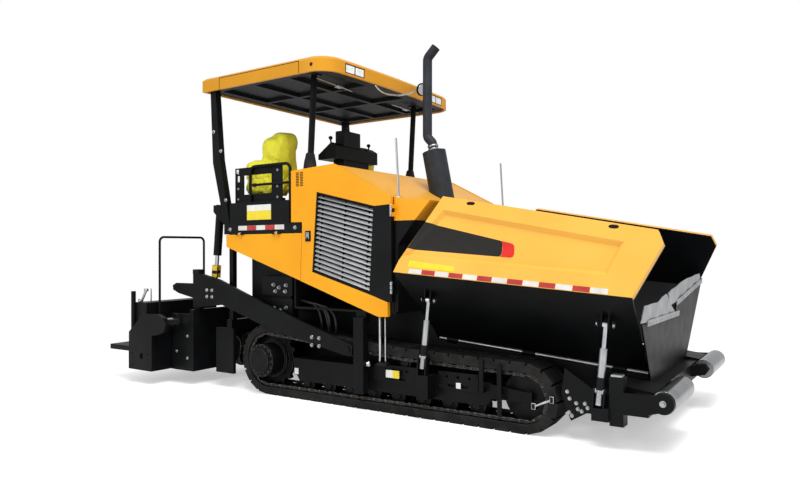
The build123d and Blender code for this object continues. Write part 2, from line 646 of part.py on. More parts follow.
def wing_wall():
    """Black inside of a hopper wing: lower wall, upper wall and the hinge knuckles."""
    upper = [(x, y) for x, y in COVER_OUTLINE]
    upper[0], upper[-1] = (-9, -28), (FOLD_LENGTH - 11, -28)
    with BuildPart() as wall:
        panel(wing_lower_corners(22), -WING_PLATE)
        with BuildSketch(fold_frame.offset(-COVER_THICK)) as skin:
            with BuildLine():
                Polyline(*upper, close=True)
            make_face()
        extrude(skin.sketch, amount=-WING_PLATE)
        for along in KNUCKLES:
            with BuildSketch(Plane(origin=hinge_frame.from_local_coords((along - KNUCKLE_LENGTH / 2, 0, 0)),
                                   z_dir=hinge_frame.x_dir)) as knuckle:
                Circle(KNUCKLE_RADIUS)
                Circle(HINGE_PIN + FIT, mode=Mode.SUBTRACT)
            extrude(knuckle.sketch, amount=KNUCKLE_LENGTH)
        fold = hinge_frame.to_local_coords(Vector(*FOLD_FRONT))
        out, up = RAM_EYE
        near, far = (out - 30) * fold.Y / fold.Z + 8, (out + 30) * fold.Y / fold.Z + 8
        for along in (RAM_REAR, RAM_FRONT):
            ear(along, [(out - 30, near), (out + 30, far), (out + 30, up - 12), (out + 12, up - 28),
                        (out - 12, up - 28), (out - 30, up - 12)], 24, 36)
            for start, end in ((-46, -35), (35, 46)):
                bar(ram_point(along + start, RAM_EYE), ram_point(along + end, RAM_EYE), RAM_PIN)
    return wall.part


def wing_cover(wall):
    """Pressed yellow outer cover of a wing with its recessed field."""
    with BuildPart() as cover:
        with BuildSketch(fold_frame) as face:
            with BuildLine():
                Polyline(*COVER_OUTLINE, close=True)
            make_face()
        extrude(face.sketch, amount=-COVER_THICK)
        with BuildSketch(fold_frame) as field:
            with BuildLine():
                Polyline(*COVER_POCKET, close=True)
            make_face()
        extrude(field.sketch, amount=-POCKET_DEPTH, mode=Mode.SUBTRACT, taper=45)
        add(wall, mode=Mode.SUBTRACT)
    return cover.part


def wing_cylinder():
    """The two lift cylinder barrels under a wing, each carried on two stubs."""
    with BuildPart() as barrels:
        for along in (RAM_REAR, RAM_FRONT):
            bar(on_ram(along, RAM_FOOT), on_ram(along, RAM_HEAD), RAM_RADIUS)
            bar(ram_point(along - BOSS, RAM_BASE), ram_point(along + BOSS, RAM_BASE), RAM_PIN + 10)
            for side in (-1, 1):
                bar(ram_point(along + side * (STUB_TIP - 1), RAM_BASE), ram_point(along + side * (BOSS + 1), RAM_BASE),
                    RAM_PIN + FIT, Mode.SUBTRACT)
            bar(on_ram(along, RAM_FOOT + 12), on_ram(along, RAM_HEAD + 1), RAM_ROD + FIT, Mode.SUBTRACT)
    return barrels.part


def wing_rod():
    """The two lift cylinder rods under a wing with their eyes."""
    reach = hypot(RAM_EYE[0] - RAM_BASE[0], RAM_EYE[1] - RAM_BASE[1])
    with BuildPart() as rods:
        for along in (RAM_REAR, RAM_FRONT):
            bar(on_ram(along, RAM_ROD_START), on_ram(along, reach), RAM_ROD)
            bar(ram_point(along - 20, RAM_EYE), ram_point(along + 20, RAM_EYE), RAM_ROD + 8)
            bar(ram_point(along - 21, RAM_EYE), ram_point(along + 21, RAM_EYE), RAM_PIN - 2, Mode.SUBTRACT)
    return rods.part


# ---------------------------------------------------------------- hood and engine bay
def engine_block():
    """The diesel engine as one plain mass on the deck."""
    with BuildPart() as engine:
        block(-380, 460, -420, 420, DECK_Z, 1850)
    return engine.part


def slope_height(x):
    """Height of the hood's front slope."""
    (x0, z0), (x1, z1) = HOOD_PEAK, HOOD_FRONT
    return z0 + (z1 - z0) * (x - x0) / (x1 - x0)


def hood_shell():
    """Folded top sheet, rear bulkhead and front jambs of the hood."""
    rear = (HOOD_REAR_X, 2455)
    seal = BODY_HALF - DOOR_THICK - FIT
    with BuildPart() as hood:
        prism([rear, HOOD_PEAK, HOOD_FRONT, (HOOD_FRONT[0], HOOD_FRONT[1] - SHEET),
               (HOOD_PEAK[0], HOOD_PEAK[1] - SHEET), (rear[0], rear[1] - SHEET)], -SIDE_LINE, SIDE_LINE)
        block(HOOD_REAR_X, HOOD_REAR_X + SHEET, -SIDE_LINE, SIDE_LINE, DECK_Z, 2450)
        jamb = [(700, DECK_Z), (740, DECK_Z), (740, slope_height(740) - 5), (700, slope_height(700) - 5)]
        prism(jamb, seal - 56, SIDE_LINE)
        prism([(700, 1110), (740, 1110), (740, 2080), (700, 2080)], SIDE_LINE - 1, seal)
        mirror(about=Plane.XZ)
    return hood.part


SEAM_X = -404  # front edge of the lower rear panel
DOOR_OUTLINE = (
    (HOOD_REAR_X, 2462), (28, 2497), (HOOD_FRONT[0], 2128), (HOOD_FRONT[0], 1100), (700, 1092),
    (700, 956), (585, 951), (-424, 1282), (SEAM_X + GAP, 1790), (SEAM_X + GAP, 1906), (HOOD_REAR_X, 1909),
)
VENT_OUTLINE = (
    (-196, 2217), (545, 2040), (HOOD_FRONT[0] + 1, 2050), (HOOD_FRONT[0] + 1, 1096), (700, 1096),
    (480, 1165), (-262, 1379),
)
VENT_WINDOW = ((-181, 2195), (530, 2025), (478, 1190), (-245, 1395))  # top rear, top front, low front, low rear
SLAT_COUNT = 17
SLAT_DEPTH, SLAT_THICK, SLAT_LEAN = 36, 4, 40
SEAT_Z = 2230
SEAT_OUTER = BODY_HALF - 167
SEAT_INNER = SEAT_OUTER - 510

# exposed barrel hinges of doors and panels
BARREL, BARREL_PIN, LEAF = 12, 6, 6
BARREL_Y = BODY_HALF + BARREL
DOOR_AXIS_X = HOOD_FRONT[0] + 9
UPPER_HINGE_Z, LOWER_HINGE_Z = 1990, 1240
PANEL_AXIS_Z = PLATFORM_Z - PLATFORM_DEPTH
PANEL_HINGES = (-1330, -760)


def shrink(outline, inner, outer, mode=Mode.ADD):
    """A side outline drawn in by the running fit, extruded between two distances from the middle."""
    with BuildSketch(Plane.XZ.offset(inner)) as side:
        with BuildLine():
            Polyline(*outline, close=True)
        make_face()
        offset(amount=-FIT, kind=Kind.INTERSECTION)
    extrude(side.sketch, amount=outer - inner, mode=mode)


def door_hinge_fixed(z):
    """Fixed half of an upright barrel hinge at the front edge of a door."""
    for low, high in ((z - 60, z - 20), (z + 20, z + 60)):
        bar((DOOR_AXIS_X, -BARREL_Y, low), (DOOR_AXIS_X, -BARREL_Y, high), BARREL)
        block(HOOD_FRONT[0] + GAP, HOOD_FRONT[0] + GAP + 12, -BARREL_Y, -SIDE_LINE + SHEET, low, high)
    bar((DOOR_AXIS_X, -BARREL_Y, z - 60), (DOOR_AXIS_X, -BARREL_Y, z + 60), BARREL_PIN)


def door_hinge_moving(z):
    """Half of an upright barrel hinge that turns with the door."""
    block(HOOD_FRONT[0] - 60, HOOD_FRONT[0] + 2, -BODY_HALF - LEAF, -BODY_HALF + 7, z - 19, z + 19)
    bar((DOOR_AXIS_X, -BARREL_Y, z - 19), (DOOR_AXIS_X, -BARREL_Y, z + 19), BARREL)
    bar((DOOR_AXIS_X, -BARREL_Y, z - 20), (DOOR_AXIS_X, -BARREL_Y, z + 20), BARREL_PIN + FIT, Mode.SUBTRACT)


def panel_hinge_fixed(x):
    """Fixed half of a barrel hinge along the platform's lower edge."""
    for rear, front in ((x - 60, x - 20), (x + 20, x + 60)):
        bar((rear, -BARREL_Y, PANEL_AXIS_Z), (front, -BARREL_Y, PANEL_AXIS_Z), BARREL)
        block(rear, front, -BODY_HALF - LEAF, -BODY_HALF + 1, PANEL_AXIS_Z, PANEL_AXIS_Z + 34)
    bar((x - 60, -BARREL_Y, PANEL_AXIS_Z), (x + 60, -BARREL_Y, PANEL_AXIS_Z), BARREL_PIN)


def panel_hinge_moving(x):
    """Half of a barrel hinge that turns with the lower panel."""
    block(x - 19, x + 19, -BODY_HALF - LEAF, -BODY_HALF, PANEL_AXIS_Z - 50, PANEL_AXIS_Z)
    bar((x - 19, -BARREL_Y, PANEL_AXIS_Z), (x + 19, -BARREL_Y, PANEL_AXIS_Z), BARREL)
    bar((x - 20, -BARREL_Y, PANEL_AXIS_Z), (x + 20, -BARREL_Y, PANEL_AXIS_Z), BARREL_PIN + FIT, Mode.SUBTRACT)


def service_door():
    """Yellow engine-bay door round the vent panel."""
    with BuildPart() as door:
        prism(DOOR_OUTLINE, BODY_HALF - DOOR_THICK, BODY_HALF)
        prism(VENT_OUTLINE, BODY_HALF - DOOR_THICK - 1, BODY_HALF + 1, Mode.SUBTRACT)
    return door.part


def vent_panel():
    """Black door panel with its slanted window and the door's two hinge halves."""
    outline = [(min(x, HOOD_FRONT[0] + FIT), z) for x, z in VENT_OUTLINE]
    with BuildPart() as vent:
        shrink(outline, BODY_HALF - DOOR_THICK, BODY_HALF - 6)
        prism(VENT_WINDOW, BODY_HALF - DOOR_THICK - 1, BODY_HALF, Mode.SUBTRACT)
        for z in (UPPER_HINGE_Z, LOWER_HINGE_Z):
            door_hinge_moving(z)
    return vent.part


def vent_slats():
    """Pressed louvre slats on their carrier strips, trimmed to the window."""
    (tr_x, tr_z), (tf_x, tf_z), (lf_x, lf_z), (lr_x, lr_z) = VENT_WINDOW
    lean = radians(SLAT_LEAN)
    with BuildPart() as slats:
        for i in range(SLAT_COUNT):
            t = (i + 0.5) / SLAT_COUNT
            rear = Vector(tr_x + (lr_x - tr_x) * t, -(BODY_HALF - 24), tr_z + (lr_z - tr_z) * t)
            front = Vector(tf_x + (lf_x - tf_x) * t, -(BODY_HALF - 24), tf_z + (lf_z - tf_z) * t)
            run = front - rear
            rise = Vector(-run.Z, 0, run.X).normalized() * sin(lean)
            face = Plane(origin=(rear + front) / 2, x_dir=run, z_dir=rise - Vector(0, cos(lean), 0))
            with BuildSketch(face) as slat:
                Rectangle(run.length + 60, SLAT_DEPTH)
            extrude(slat.sketch, amount=SLAT_THICK / 2, both=True)
        for share in (0.08, 0.5, 0.92):
            top = (tr_x + (tf_x - tr_x) * share, tr_z + (tf_z - tr_z) * share)
            low = (lr_x + (lf_x - lr_x) * share, lr_z + (lf_z - lr_z) * share)
            prism([(top[0] - 9, top[1]), (top[0] + 9, top[1]), (low[0] + 9, low[1]), (low[0] - 9, low[1])],
                  BODY_HALF - DOOR_THICK + 2, BODY_HALF - 24)
        shrink(VENT_WINDOW, BODY_HALF - DOOR_THICK, BODY_HALF, Mode.INTERSECT)
    return slats.part


REAR_PANEL = ((-1566, PANEL_AXIS_Z - GAP), (SEAM_X, PANEL_AXIS_Z - GAP), (-430, 1286), (-1562, 1651))


def rear_panel():
    """Yellow lower side panel, hung on its top edge."""
    with BuildPart() as cover:
        prism(REAR_PANEL, BODY_HALF - DOOR_THICK, BODY_HALF)
        for x in PANEL_HINGES:
            panel_hinge_moving(x)
    return cover.part


MUFFLER_FOOT, MUFFLER_TOP = (590, 2175), (479, 2729)
MUFFLER_RADIUS = 135
PIPE_RADIUS = 54
PIPE_KNEE, PIPE_END = (400, 0, 3820), (515, 0, 3932)


def muffler():
    """Slate-grey silencer standing on the hood slope."""
    lift = FIT / cos(atan2(HOOD_PEAK[1] - HOOD_FRONT[1], HOOD_FRONT[0] - HOOD_PEAK[0]))
    with BuildPart() as silencer:
        bar((MUFFLER_FOOT[0] + 20, 0, MUFFLER_FOOT[1] - 105), (MUFFLER_TOP[0], 0, MUFFLER_TOP[1]), MUFFLER_RADIUS)
        prism([(300, slope_height(300) + lift), (900, slope_height(900) + lift), (900, 1700), (300, 1700)],
              -200, 200, Mode.SUBTRACT)
    return silencer.part


def exhaust_pipe():
    """Bent exhaust pipe from the silencer to above the canopy, open at its end."""
    lean = Vector(MUFFLER_TOP[0] - MUFFLER_FOOT[0], 0, MUFFLER_TOP[1] - MUFFLER_FOOT[1]).normalized()
    start = Vector(MUFFLER_TOP[0], 0, MUFFLER_TOP[1]) + lean * FIT
    with BuildPart() as pipe:
        with BuildLine() as route:
            FilletPolyline(start, start + lean * 110, (392, 0, 2905), PIPE_KNEE, PIPE_END, radius=70)
        with BuildSketch(Plane(origin=start, z_dir=lean)) as section:
            Circle(PIPE_RADIUS)
        sweep(section.sketch, path=route.line)
        tip, back = Vector(*PIPE_END), Vector(*PIPE_KNEE)
        bar(tip, tip + (back - tip).normalized() * 45, PIPE_RADIUS - 4, Mode.SUBTRACT)
    return pipe.part


ROD_Y = BODY_HALF - 82


def marker_rods():
    """Two sighting rods on the rear corners of the cowl, each on a small foot."""
    fall = (HOOD_FRONT[1] - COWL_FRONT[1]) / (COWL_FRONT[0] - HOOD_FRONT[0] - GAP)
    foot = [(760, HOOD_FRONT[1] - (760 - HOOD_FRONT[0] - GAP) * fall + FIT),
            (810, HOOD_FRONT[1] - (810 - HOOD_FRONT[0] - GAP) * fall + FIT)]
    with BuildPart() as rods:
        prism(foot + [(x, z + 8) for x, z in reversed(foot)], ROD_Y - 25, ROD_Y + 25)
        bar((785, -ROD_Y, foot[0][1] + 1), (755, -ROD_Y, 2700), 11)
        mirror(about=Plane.XZ)
    return rods.part


# ---------------------------------------------------------------- platform and canopy
VALVES = ((-1118, -658, 1107, 1319), (-1118, -658, 820, 1071))  # x and z of the hydraulic valve blocks


def tank_housing():
    """Fuel and hydraulic oil tanks under the platform, with the valve blocks on their sides."""
    with BuildPart() as tanks:
        block(CHASSIS_REAR, HOOD_REAR_X - GAP, -TANK_HALF, TANK_HALF, DECK_Z, PLATFORM_Z - PLATFORM_DEPTH)
        for rear, front, low, high in VALVES:
            block(rear, front, -TANK_HALF - 100, -TANK_HALF, low, high)
        block(VALVES[1][0] + 60, VALVES[1][1] - 60, -TANK_HALF - 60, -TANK_HALF, VALVES[1][3] - 1, VALVES[0][2] + 1)
        mirror(about=Plane.XZ)
    return tanks.part


LIFT_EAR = 53  # half the space between the ears of a screed lift cylinder
LIFT_PIN = 22


def platform():
    """Crew platform: floor on a deep edge frame, seat pedestals and the ears of the screed lift cylinders."""
    front = HOOD_REAR_X - GAP
    low = PLATFORM_Z - PLATFORM_DEPTH
    ear_side = [(PLATFORM_REAR + 40, PLATFORM_Z + 60), (PLATFORM_REAR + 40, low), (-1880, 2070), (-1880, 2150),
                (-1800, 2150)]
    with BuildPart() as floor:
        block(PLATFORM_REAR, front, -BODY_HALF, 0, low, PLATFORM_Z)
        block(front - 1, SEAM_X, -BODY_HALF, -BODY_HALF + DOOR_THICK, low, PLATFORM_Z)
        block(-1420, -1120, 110 - SEAT_OUTER, -SEAT_INNER - 160, PLATFORM_Z, SEAT_Z - FIT)
        for inner in (LIFT_Y - LIFT_EAR - 20, LIFT_Y + LIFT_EAR):
            prism(ear_side, inner, inner + 20)
        drum(LIFT_TOP[0], LIFT_TOP[1], LIFT_PIN, -LIFT_Y - LIFT_EAR - 1, -LIFT_Y + LIFT_EAR + 1)
        for x in PANEL_HINGES:
            panel_hinge_fixed(x)
        mirror(about=Plane.XZ)
    return floor.part


BOX_REAR, BOX_FRONT, BOX_TOP = -1502, -584, 2153


def side_box():
    """Black locker along the platform's side."""
    with BuildPart() as box:
        block(BOX_REAR, BOX_FRONT, -BODY_HALF, -BODY_HALF + 260, PLATFORM_Z, BOX_TOP)
    return box.part


RAIL_Y = -BODY_HALF + 60
RAIL_TOP = 2560
RAIL_RADIUS = 17


def guard_rail():
    """Guard panel and bent tube above the side box."""
    y = RAIL_Y
    with BuildPart() as rail:
        block(-1500, -760, y + 20, y + 32, BOX_TOP, RAIL_TOP)
        block(-1360, -920, y + 19, y + 33, 2250, 2470, Mode.SUBTRACT)
        with BuildLine() as route:
            FilletPolyline((-1230, y, BOX_TOP), (-1230, y, RAIL_TOP), (-620, y, RAIL_TOP), (-620, y, BOX_TOP),
                           radius=70)
        with BuildSketch(Plane(origin=(-1230, y, BOX_TOP), z_dir=(0, 0, 1))) as tube:
            Circle(RAIL_RADIUS)
        sweep(tube.sketch, path=route.line)
        bar((-1230, y, 2350), (-620, y, 2350), RAIL_RADIUS - 3)
        for x in (-1180, -800):
            block(x - 20, x + 20, y + 10, y + 21, 2330, 2370)
    return rail.part


def console():
    """Driver's desk across the front of the platform."""
    with BuildPart() as desk:
        block(-800, -640, -250, 250, PLATFORM_Z, 2700)
        prism([(-900, 2700), (-620, 2700), (-620, 2850), (-700, 2900), (-900, 2760)], -420, 420)
    return desk.part


def seat():
    """Covered swivel seat: cushion and backrest under one loose cover."""
    with BuildPart() as cover:
        prism([(-1560, SEAT_Z), (-1030, SEAT_Z), (-1000, 2430), (-1230, 2520), (-1300, 3000), (-1430, 3020),
               (-1560, 2500)], SEAT_INNER, SEAT_OUTER)
    return cover.part


POST_INNER = BODY_HALF - 80
LINER_BOTTOM = ROOF_BOTTOM + 20


def rear_post():
    """Cranked canopy post from the platform's rear corner."""
    with BuildPart() as post:
        prism([(-1830, LINER_BOTTOM), (-1745, LINER_BOTTOM), (-1672, 2672), (-1510, PLATFORM_Z),
               (-1598, PLATFORM_Z), (-1790, 2640)], POST_INNER, BODY_HALF)
        block(PLATFORM_REAR, BOX_REAR, -BODY_HALF, -POST_INNER, PLATFORM_Z, PLATFORM_Z + 12)
    return post.part


FRONT_POST_Y = BODY_HALF - 257
RIB_DEPTH = 40  # depth of the open bays in the canopy's underside


def front_post():
    """Round canopy post standing on the rear of the hood, with a foot plate and a head plate."""
    y = -FRONT_POST_Y
    rise = (HOOD_PEAK[1] - 2455) / (HOOD_PEAK[0] - HOOD_REAR_X)
    foot = [(x, 2455 + (x - HOOD_REAR_X) * rise + FIT) for x in (-550, -465)]
    with BuildPart() as post:
        prism(foot + [(x, z + 14) for x, z in reversed(foot)], FRONT_POST_Y - 55, FRONT_POST_Y + 55)
        bar((-508, y, foot[1][1] + 4), (-441, y, LINER_BOTTOM + RIB_DEPTH - 8), 35)
        bar((-508, y, foot[1][1] + 4), (-502, y, foot[1][1] + 100), 46)
        block(-500, -382, y - 60, y + 60, LINER_BOTTOM + RIB_DEPTH - 12, LINER_BOTTOM + RIB_DEPTH)
    return post.part


ROOF_BOW = 45  # how far the front edge's middle lies before its corners
FASCIA = 30
REAR_CORNER, FRONT_CORNER = 110, 260
LAMPS = ((712, 850), (869, 1007))  # |y| of the two lamps of each pair
LAMP_Z = (3507, 3587)
LAMP_SEAT = 20  # depth of the lamp pockets


def roof_plan(inset, height):
    """Plan of the canopy at a height, drawn in by a distance: bowed front edge between two wide corners."""
    rear, front, half = ROOF_REAR + inset, ROOF_FRONT - inset, ROOF_HALF - inset
    with BuildSketch(Plane.XY.offset(height)) as plan:
        with BuildLine():
            Polyline((front - ROOF_BOW, half), (rear, half), (rear, -half), (front - ROOF_BOW, -half))
            ThreePointArc((front - ROOF_BOW, -half), (front, 0), (front - ROOF_BOW, half))
        make_face()
        corners = plan.vertices().group_by(Axis.X)
        fillet(corners[-1], radius=FRONT_CORNER - inset)
        fillet(corners[0], radius=REAR_CORNER - inset)
    return plan.sketch


def roof_edge(y, depth):
    """The (x, y) of a point at a depth behind the bowed front edge."""
    return (ROOF_FRONT - ROOF_BOW * (y / ROOF_HALF) ** 2 - depth, -y)


def front_pocket(inner, outer, low, high, shallow, deep, mode):
    """A block in the fascia between two distances from the middle, following the bowed edge."""
    with BuildSketch(Plane.XY.offset(low)) as plan:
        with BuildLine():
            Polyline(roof_edge(inner, shallow), roof_edge(outer, shallow), roof_edge(outer, deep),
                     roof_edge(inner, deep), close=True)
        make_face()
    extrude(plan.sketch, amount=high - low, mode=mode)


def canopy_roof():
    """Moulded canopy with a bowed front, open below, with a shallow pocket for each pair of lamps."""
    with BuildPart() as roof:
        extrude(roof_plan(0, ROOF_BOTTOM), amount=ROOF_TOP - ROOF_BOTTOM)
        chamfer(roof.faces().sort_by(Axis.Z)[-1].edges(), 30)
        extrude(roof_plan(FASCIA, ROOF_BOTTOM), amount=ROOF_TOP - ROOF_BOTTOM - 40, mode=Mode.SUBTRACT)
        with BuildPart(mode=Mode.SUBTRACT):
            front_pocket(LAMPS[0][0] - 20, LAMPS[1][1] + 20, LAMP_Z[0] - 12, LAMP_Z[1] + 12, -60, LAMP_SEAT, Mode.ADD)
            mirror(about=Plane.XZ)
    return roof.part


def roof_lamps():
    """Four square work lamps in the canopy's front edge."""
    with BuildPart() as lamps:
        for inner, outer in LAMPS:
            front_pocket(inner, outer, *LAMP_Z, 4, LAMP_SEAT - FIT, Mode.ADD)
        mirror(about=Plane.XZ)
    return lamps.part


def canopy_liner():
    """Black ribbed underside of the canopy."""
    middle = (ROOF_FRONT + ROOF_REAR) / 2 - 20
    with BuildPart() as liner:
        extrude(roof_plan(FASCIA + FIT, LINER_BOTTOM), amount=ROOF_TOP - 40 - LINER_BOTTOM)
        with BuildSketch(Plane.XY.offset(LINER_BOTTOM)) as bays:
            with Locations((middle, 0)):
                with GridLocations(540, 800, 3, 3):
                    Rectangle(480, 740)
        extrude(bays.sketch, amount=RIB_DEPTH, mode=Mode.SUBTRACT)
    return liner.part


# ---------------------------------------------------------------- tow points, arms and screed
def tow_slider():
    """Sliding tow blocks with their pins, both sides."""
    with BuildPart() as slider:
        block(150, COLUMN_X[0] - FIT, -ARM_INNER + 5, -TRACK_OUTER - 7, TOW_Z - 70, TOW_Z + 70)
        drum(TOW_X, TOW_Z, 30, -BODY_HALF - 10, -ARM_INNER + 5)
        mirror(about=Plane.XZ)
    return slider.part


ARM_OUTLINE = (
    (TOW_X + 62, TOW_Z + 45), (TOW_X - 40, TOW_Z + 75), (-930, 1005), (-1700, 1270), (-2060, 1345),
    (-2150, 1341), (-2150, 922), (-1640, 976), (-1000, 780), (TOW_X - 40, TOW_Z - 60), (TOW_X + 55, TOW_Z - 55),
)
LINK_OUTLINE = ((-2149, 1215), (-2470, 1215), (-2535, 1185), (-2527, 1130), (-2420, 1090), (-2149, 1040))


def tow_arm():
    """Cranked side arm from the tow point to the screed, with the stub that the lift rod hangs from."""
    with BuildPart() as arm:
        prism(ARM_OUTLINE, ARM_INNER, ARM_INNER + ARM_THICK)
        prism(LINK_OUTLINE, ARM_INNER + 5, ARM_INNER + ARM_THICK - 5)
        block(-2140, -2030, -ARM_INNER - ARM_THICK - 12, -ARM_INNER + 30, 1330, 1385)
        drum(TOW_X, TOW_Z, 30 + FIT, -ARM_INNER - ARM_THICK - 1, -ARM_INNER + 1, Mode.SUBTRACT)
        drum(LIFT_LOW[0], LIFT_LOW[1], 40, -ARM_INNER - 1, -LIFT_Y - LIFT_RADIUS - GAP)
    return arm.part


SCREED_REAR, SCREED_FRONT = -2480, -2080
HOUSING_RADIUS = GUIDE_RADIUS + 25
FLANGE = 22  # collar round each guide tube on the screed's end
RIB_SHARES = (-1, -0.5, 0, 0.5, 1)


def screed_body():
    """Main screed: bottom box, front shield, guide housings and end plates to the arms."""
    with BuildPart() as body:
        block(SCREED_REAR, SCREED_FRONT, -SCREED_HALF, SCREED_HALF, SCREED_BOTTOM, 430)
        block(SCREED_FRONT - 60, SCREED_FRONT, -SCREED_HALF, SCREED_HALF, 430, 905)
        drum(GUIDE_X, GUIDE_Z, HOUSING_RADIUS, -SCREED_HALF, SCREED_HALF)
        for share in RIB_SHARES:
            y = share * (SCREED_HALF - 10)
            block(SCREED_REAR + 20, SCREED_FRONT - 20, y - 10, y + 10, 430, 850)
        block(SCREED_FRONT - 80, SCREED_FRONT, -ARM_INNER, -ARM_INNER + 60, 430, 1250)
        drum(GUIDE_X, GUIDE_Z, HOUSING_RADIUS + 20, -SCREED_HALF - FLANGE, -SCREED_HALF)
        mirror(about=Plane.XZ)
        for y0, y1 in ((-SCREED_HALF - FLANGE - 1, -60), (60, SCREED_HALF + FLANGE + 1)):
            drum(GUIDE_X, GUIDE_Z, GUIDE_RADIUS + FIT, y0, y1, Mode.SUBTRACT)
    return body.part


EXTENSION_INNER = 430
EXTENSION_FRONT = SCREED_REAR - 20
EXTENSION_REAR = -2950
BRACKET_Y = EXTENSION_OUT - 60  # inner face of the outboard brackets
BRACKET_OUTLINE = (
    (-2945, 440), (-2945, 620), (-2860, 690), (-2668, 850), (-2400, 855), (-2290, 815), (-2235, 745),
    (-2282, 650), (-2400, 610), (-2501, 600), (-2501, 419), (-2945, 419),
)
RAIL_SPAN = (-EXTENSION_OUT + 190, -EXTENSION_OUT + 870)
LEVER_X = -2916
END_HOLES_Z, END_HOLE_SPACING = 295, (300, 140)  # bolt holes for a bolt-on screed widening
END_HOLE_RADIUS, END_HOLE_DEPTH = 9, 45
END_PORT, END_PORT_RADIUS = (-2693, 340), 38  # recess round the extension's side port
ARCH_X, ARCH_TOP = -2600, 1780


def screed_extension():
    """Sliding extension behind the main screed: bottom box, outboard bracket, end plate, walkway and hand rail."""
    inner, outer = -EXTENSION_INNER, -EXTENSION_OUT
    with BuildPart() as extension:
        block(EXTENSION_REAR, EXTENSION_FRONT, outer, inner, SCREED_BOTTOM, 420)
        block(EXTENSION_FRONT - 30, EXTENSION_FRONT, outer, inner, 420, 735)
        prism(BRACKET_OUTLINE, BRACKET_Y, EXTENSION_OUT)
        block(-2900, -2680, -BRACKET_Y, inner - 20, 419, 980)
        block(REAR_X, EXTENSION_REAR, outer, inner, 385, 445)
        bar((LEVER_X, outer + 45, 600), (LEVER_X, outer + 45, 1115), 28)
        drum(END_PORT[0], END_PORT[1], END_PORT_RADIUS, outer - 1, outer + 20, Mode.SUBTRACT)
        with BuildLine() as route:
            FilletPolyline((ARCH_X, RAIL_SPAN[0], 410), (ARCH_X, RAIL_SPAN[0], ARCH_TOP),
                           (ARCH_X, RAIL_SPAN[1], ARCH_TOP), (ARCH_X, RAIL_SPAN[1], 410), radius=60)
        with BuildSketch(Plane(origin=(ARCH_X, RAIL_SPAN[0], 410), z_dir=(0, 0, 1))) as tube:
            Circle(14)
        sweep(tube.sketch, path=route.line)
        with Locations(Location(((EXTENSION_REAR + EXTENSION_FRONT) / 2, outer, END_HOLES_Z), (90, 0, 0))):
            with GridLocations(*END_HOLE_SPACING, 2, 2):
                Cylinder(END_HOLE_RADIUS, 2 * END_HOLE_DEPTH, mode=Mode.SUBTRACT)
    return extension.part


def guide_tube():
    """Chromed guide tube of an extension."""
    with BuildPart() as tube:
        drum(GUIDE_X, GUIDE_Z, GUIDE_RADIUS, -BRACKET_Y, -EXTENSION_INNER)
    return tube.part


AUGER_X, AUGER_Z, AUGER_RADIUS = -1760, 400, 190
AUGER_SHAFT = 45
AUGER_PITCH = 260
AUGER_INNER, AUGER_OUTER = 50, ARM_INNER - 75  # |y| of the bearings' faces
BLADE_COUNT = 8  # half turns on each side
BLADE_THICK = 12


def auger():
    """Spreading auger: half-turn blades, tilted to and fro, on one shaft."""
    tilt = AUGER_PITCH / 4 / AUGER_RADIUS
    with BuildPart() as screw:
        drum(AUGER_X, AUGER_Z, AUGER_SHAFT, -AUGER_OUTER + FIT, -AUGER_INNER - FIT)
        for i in range(BLADE_COUNT):
            side = 1 if i % 2 else -1
            y = -(AUGER_INNER + 100 + i * AUGER_PITCH / 2)
            with BuildSketch(Plane(origin=(AUGER_X, y, AUGER_Z), x_dir=(1, 0, 0), z_dir=(0, 1, -side * tilt))) as blade:
                Ellipse(AUGER_RADIUS, AUGER_RADIUS * hypot(1, tilt))
                with Locations((side * (AUGER_RADIUS / 2 - 2), 0)):
                    Rectangle(AUGER_RADIUS, 3 * AUGER_RADIUS, mode=Mode.INTERSECT)
            extrude(blade.sketch, amount=BLADE_THICK / 2, both=True)
    return screw.part


HANGER_X = (-1640, -1560)


def auger_frame():
    """Auger hanger under the rear of the chassis with end plates, upright tubes and the drive case."""
    with BuildPart() as frame:
        block(*HANGER_X, -AUGER_OUTER - 40, AUGER_OUTER + 40, 700, 800)
        block(HANGER_X[1], CHASSIS_REAR, -300, 300, 720, 780)
        block(AUGER_X - 60, AUGER_X + 60, -AUGER_INNER, AUGER_INNER, 330, 470)
        block(AUGER_X + 60, HANGER_X[0] + 20, -AUGER_INNER, AUGER_INNER, 380, 701)
        for side in (-1, 1):
            y = side * (AUGER_OUTER + 20)
            block(AUGER_X - 70, HANGER_X[1] + 24, y - 20, y + 20, 175, 701)
            block(HANGER_X[1] - 60, HANGER_X[1], y - side * 30 - 30, y - side * 30 + 30, 799,
                  PLATFORM_Z - PLATFORM_DEPTH)
    return frame.part


def on_lift(distance):
    """A point on the screed lift cylinder's axis, measured down from its top pin."""
    dx, dz = LIFT_LOW[0] - LIFT_TOP[0], LIFT_LOW[1] - LIFT_TOP[1]
    length = hypot(dx, dz)
    return (LIFT_TOP[0] + dx * distance / length, -LIFT_Y, LIFT_TOP[1] + dz * distance / length)


LIFT_ROD = 24
LIFT_HEAD = 560  # barrel length from its pin
LIFT_ROD_START = 370


def lift_cylinder():
    """Barrel of a screed lift cylinder."""
    with BuildPart() as barrel:
        bar(on_lift(0), on_lift(LIFT_HEAD), LIFT_RADIUS)
        drum(LIFT_TOP[0], LIFT_TOP[1], LIFT_RADIUS, -LIFT_Y - LIFT_EAR + 2, -LIFT_Y + LIFT_EAR - 2)
        bar(on_lift(60), on_lift(LIFT_HEAD + 1), LIFT_ROD + FIT, Mode.SUBTRACT)
        drum(LIFT_TOP[0], LIFT_TOP[1], LIFT_PIN + FIT, -LIFT_Y - LIFT_EAR, -LIFT_Y + LIFT_EAR, Mode.SUBTRACT)
    return barrel.part


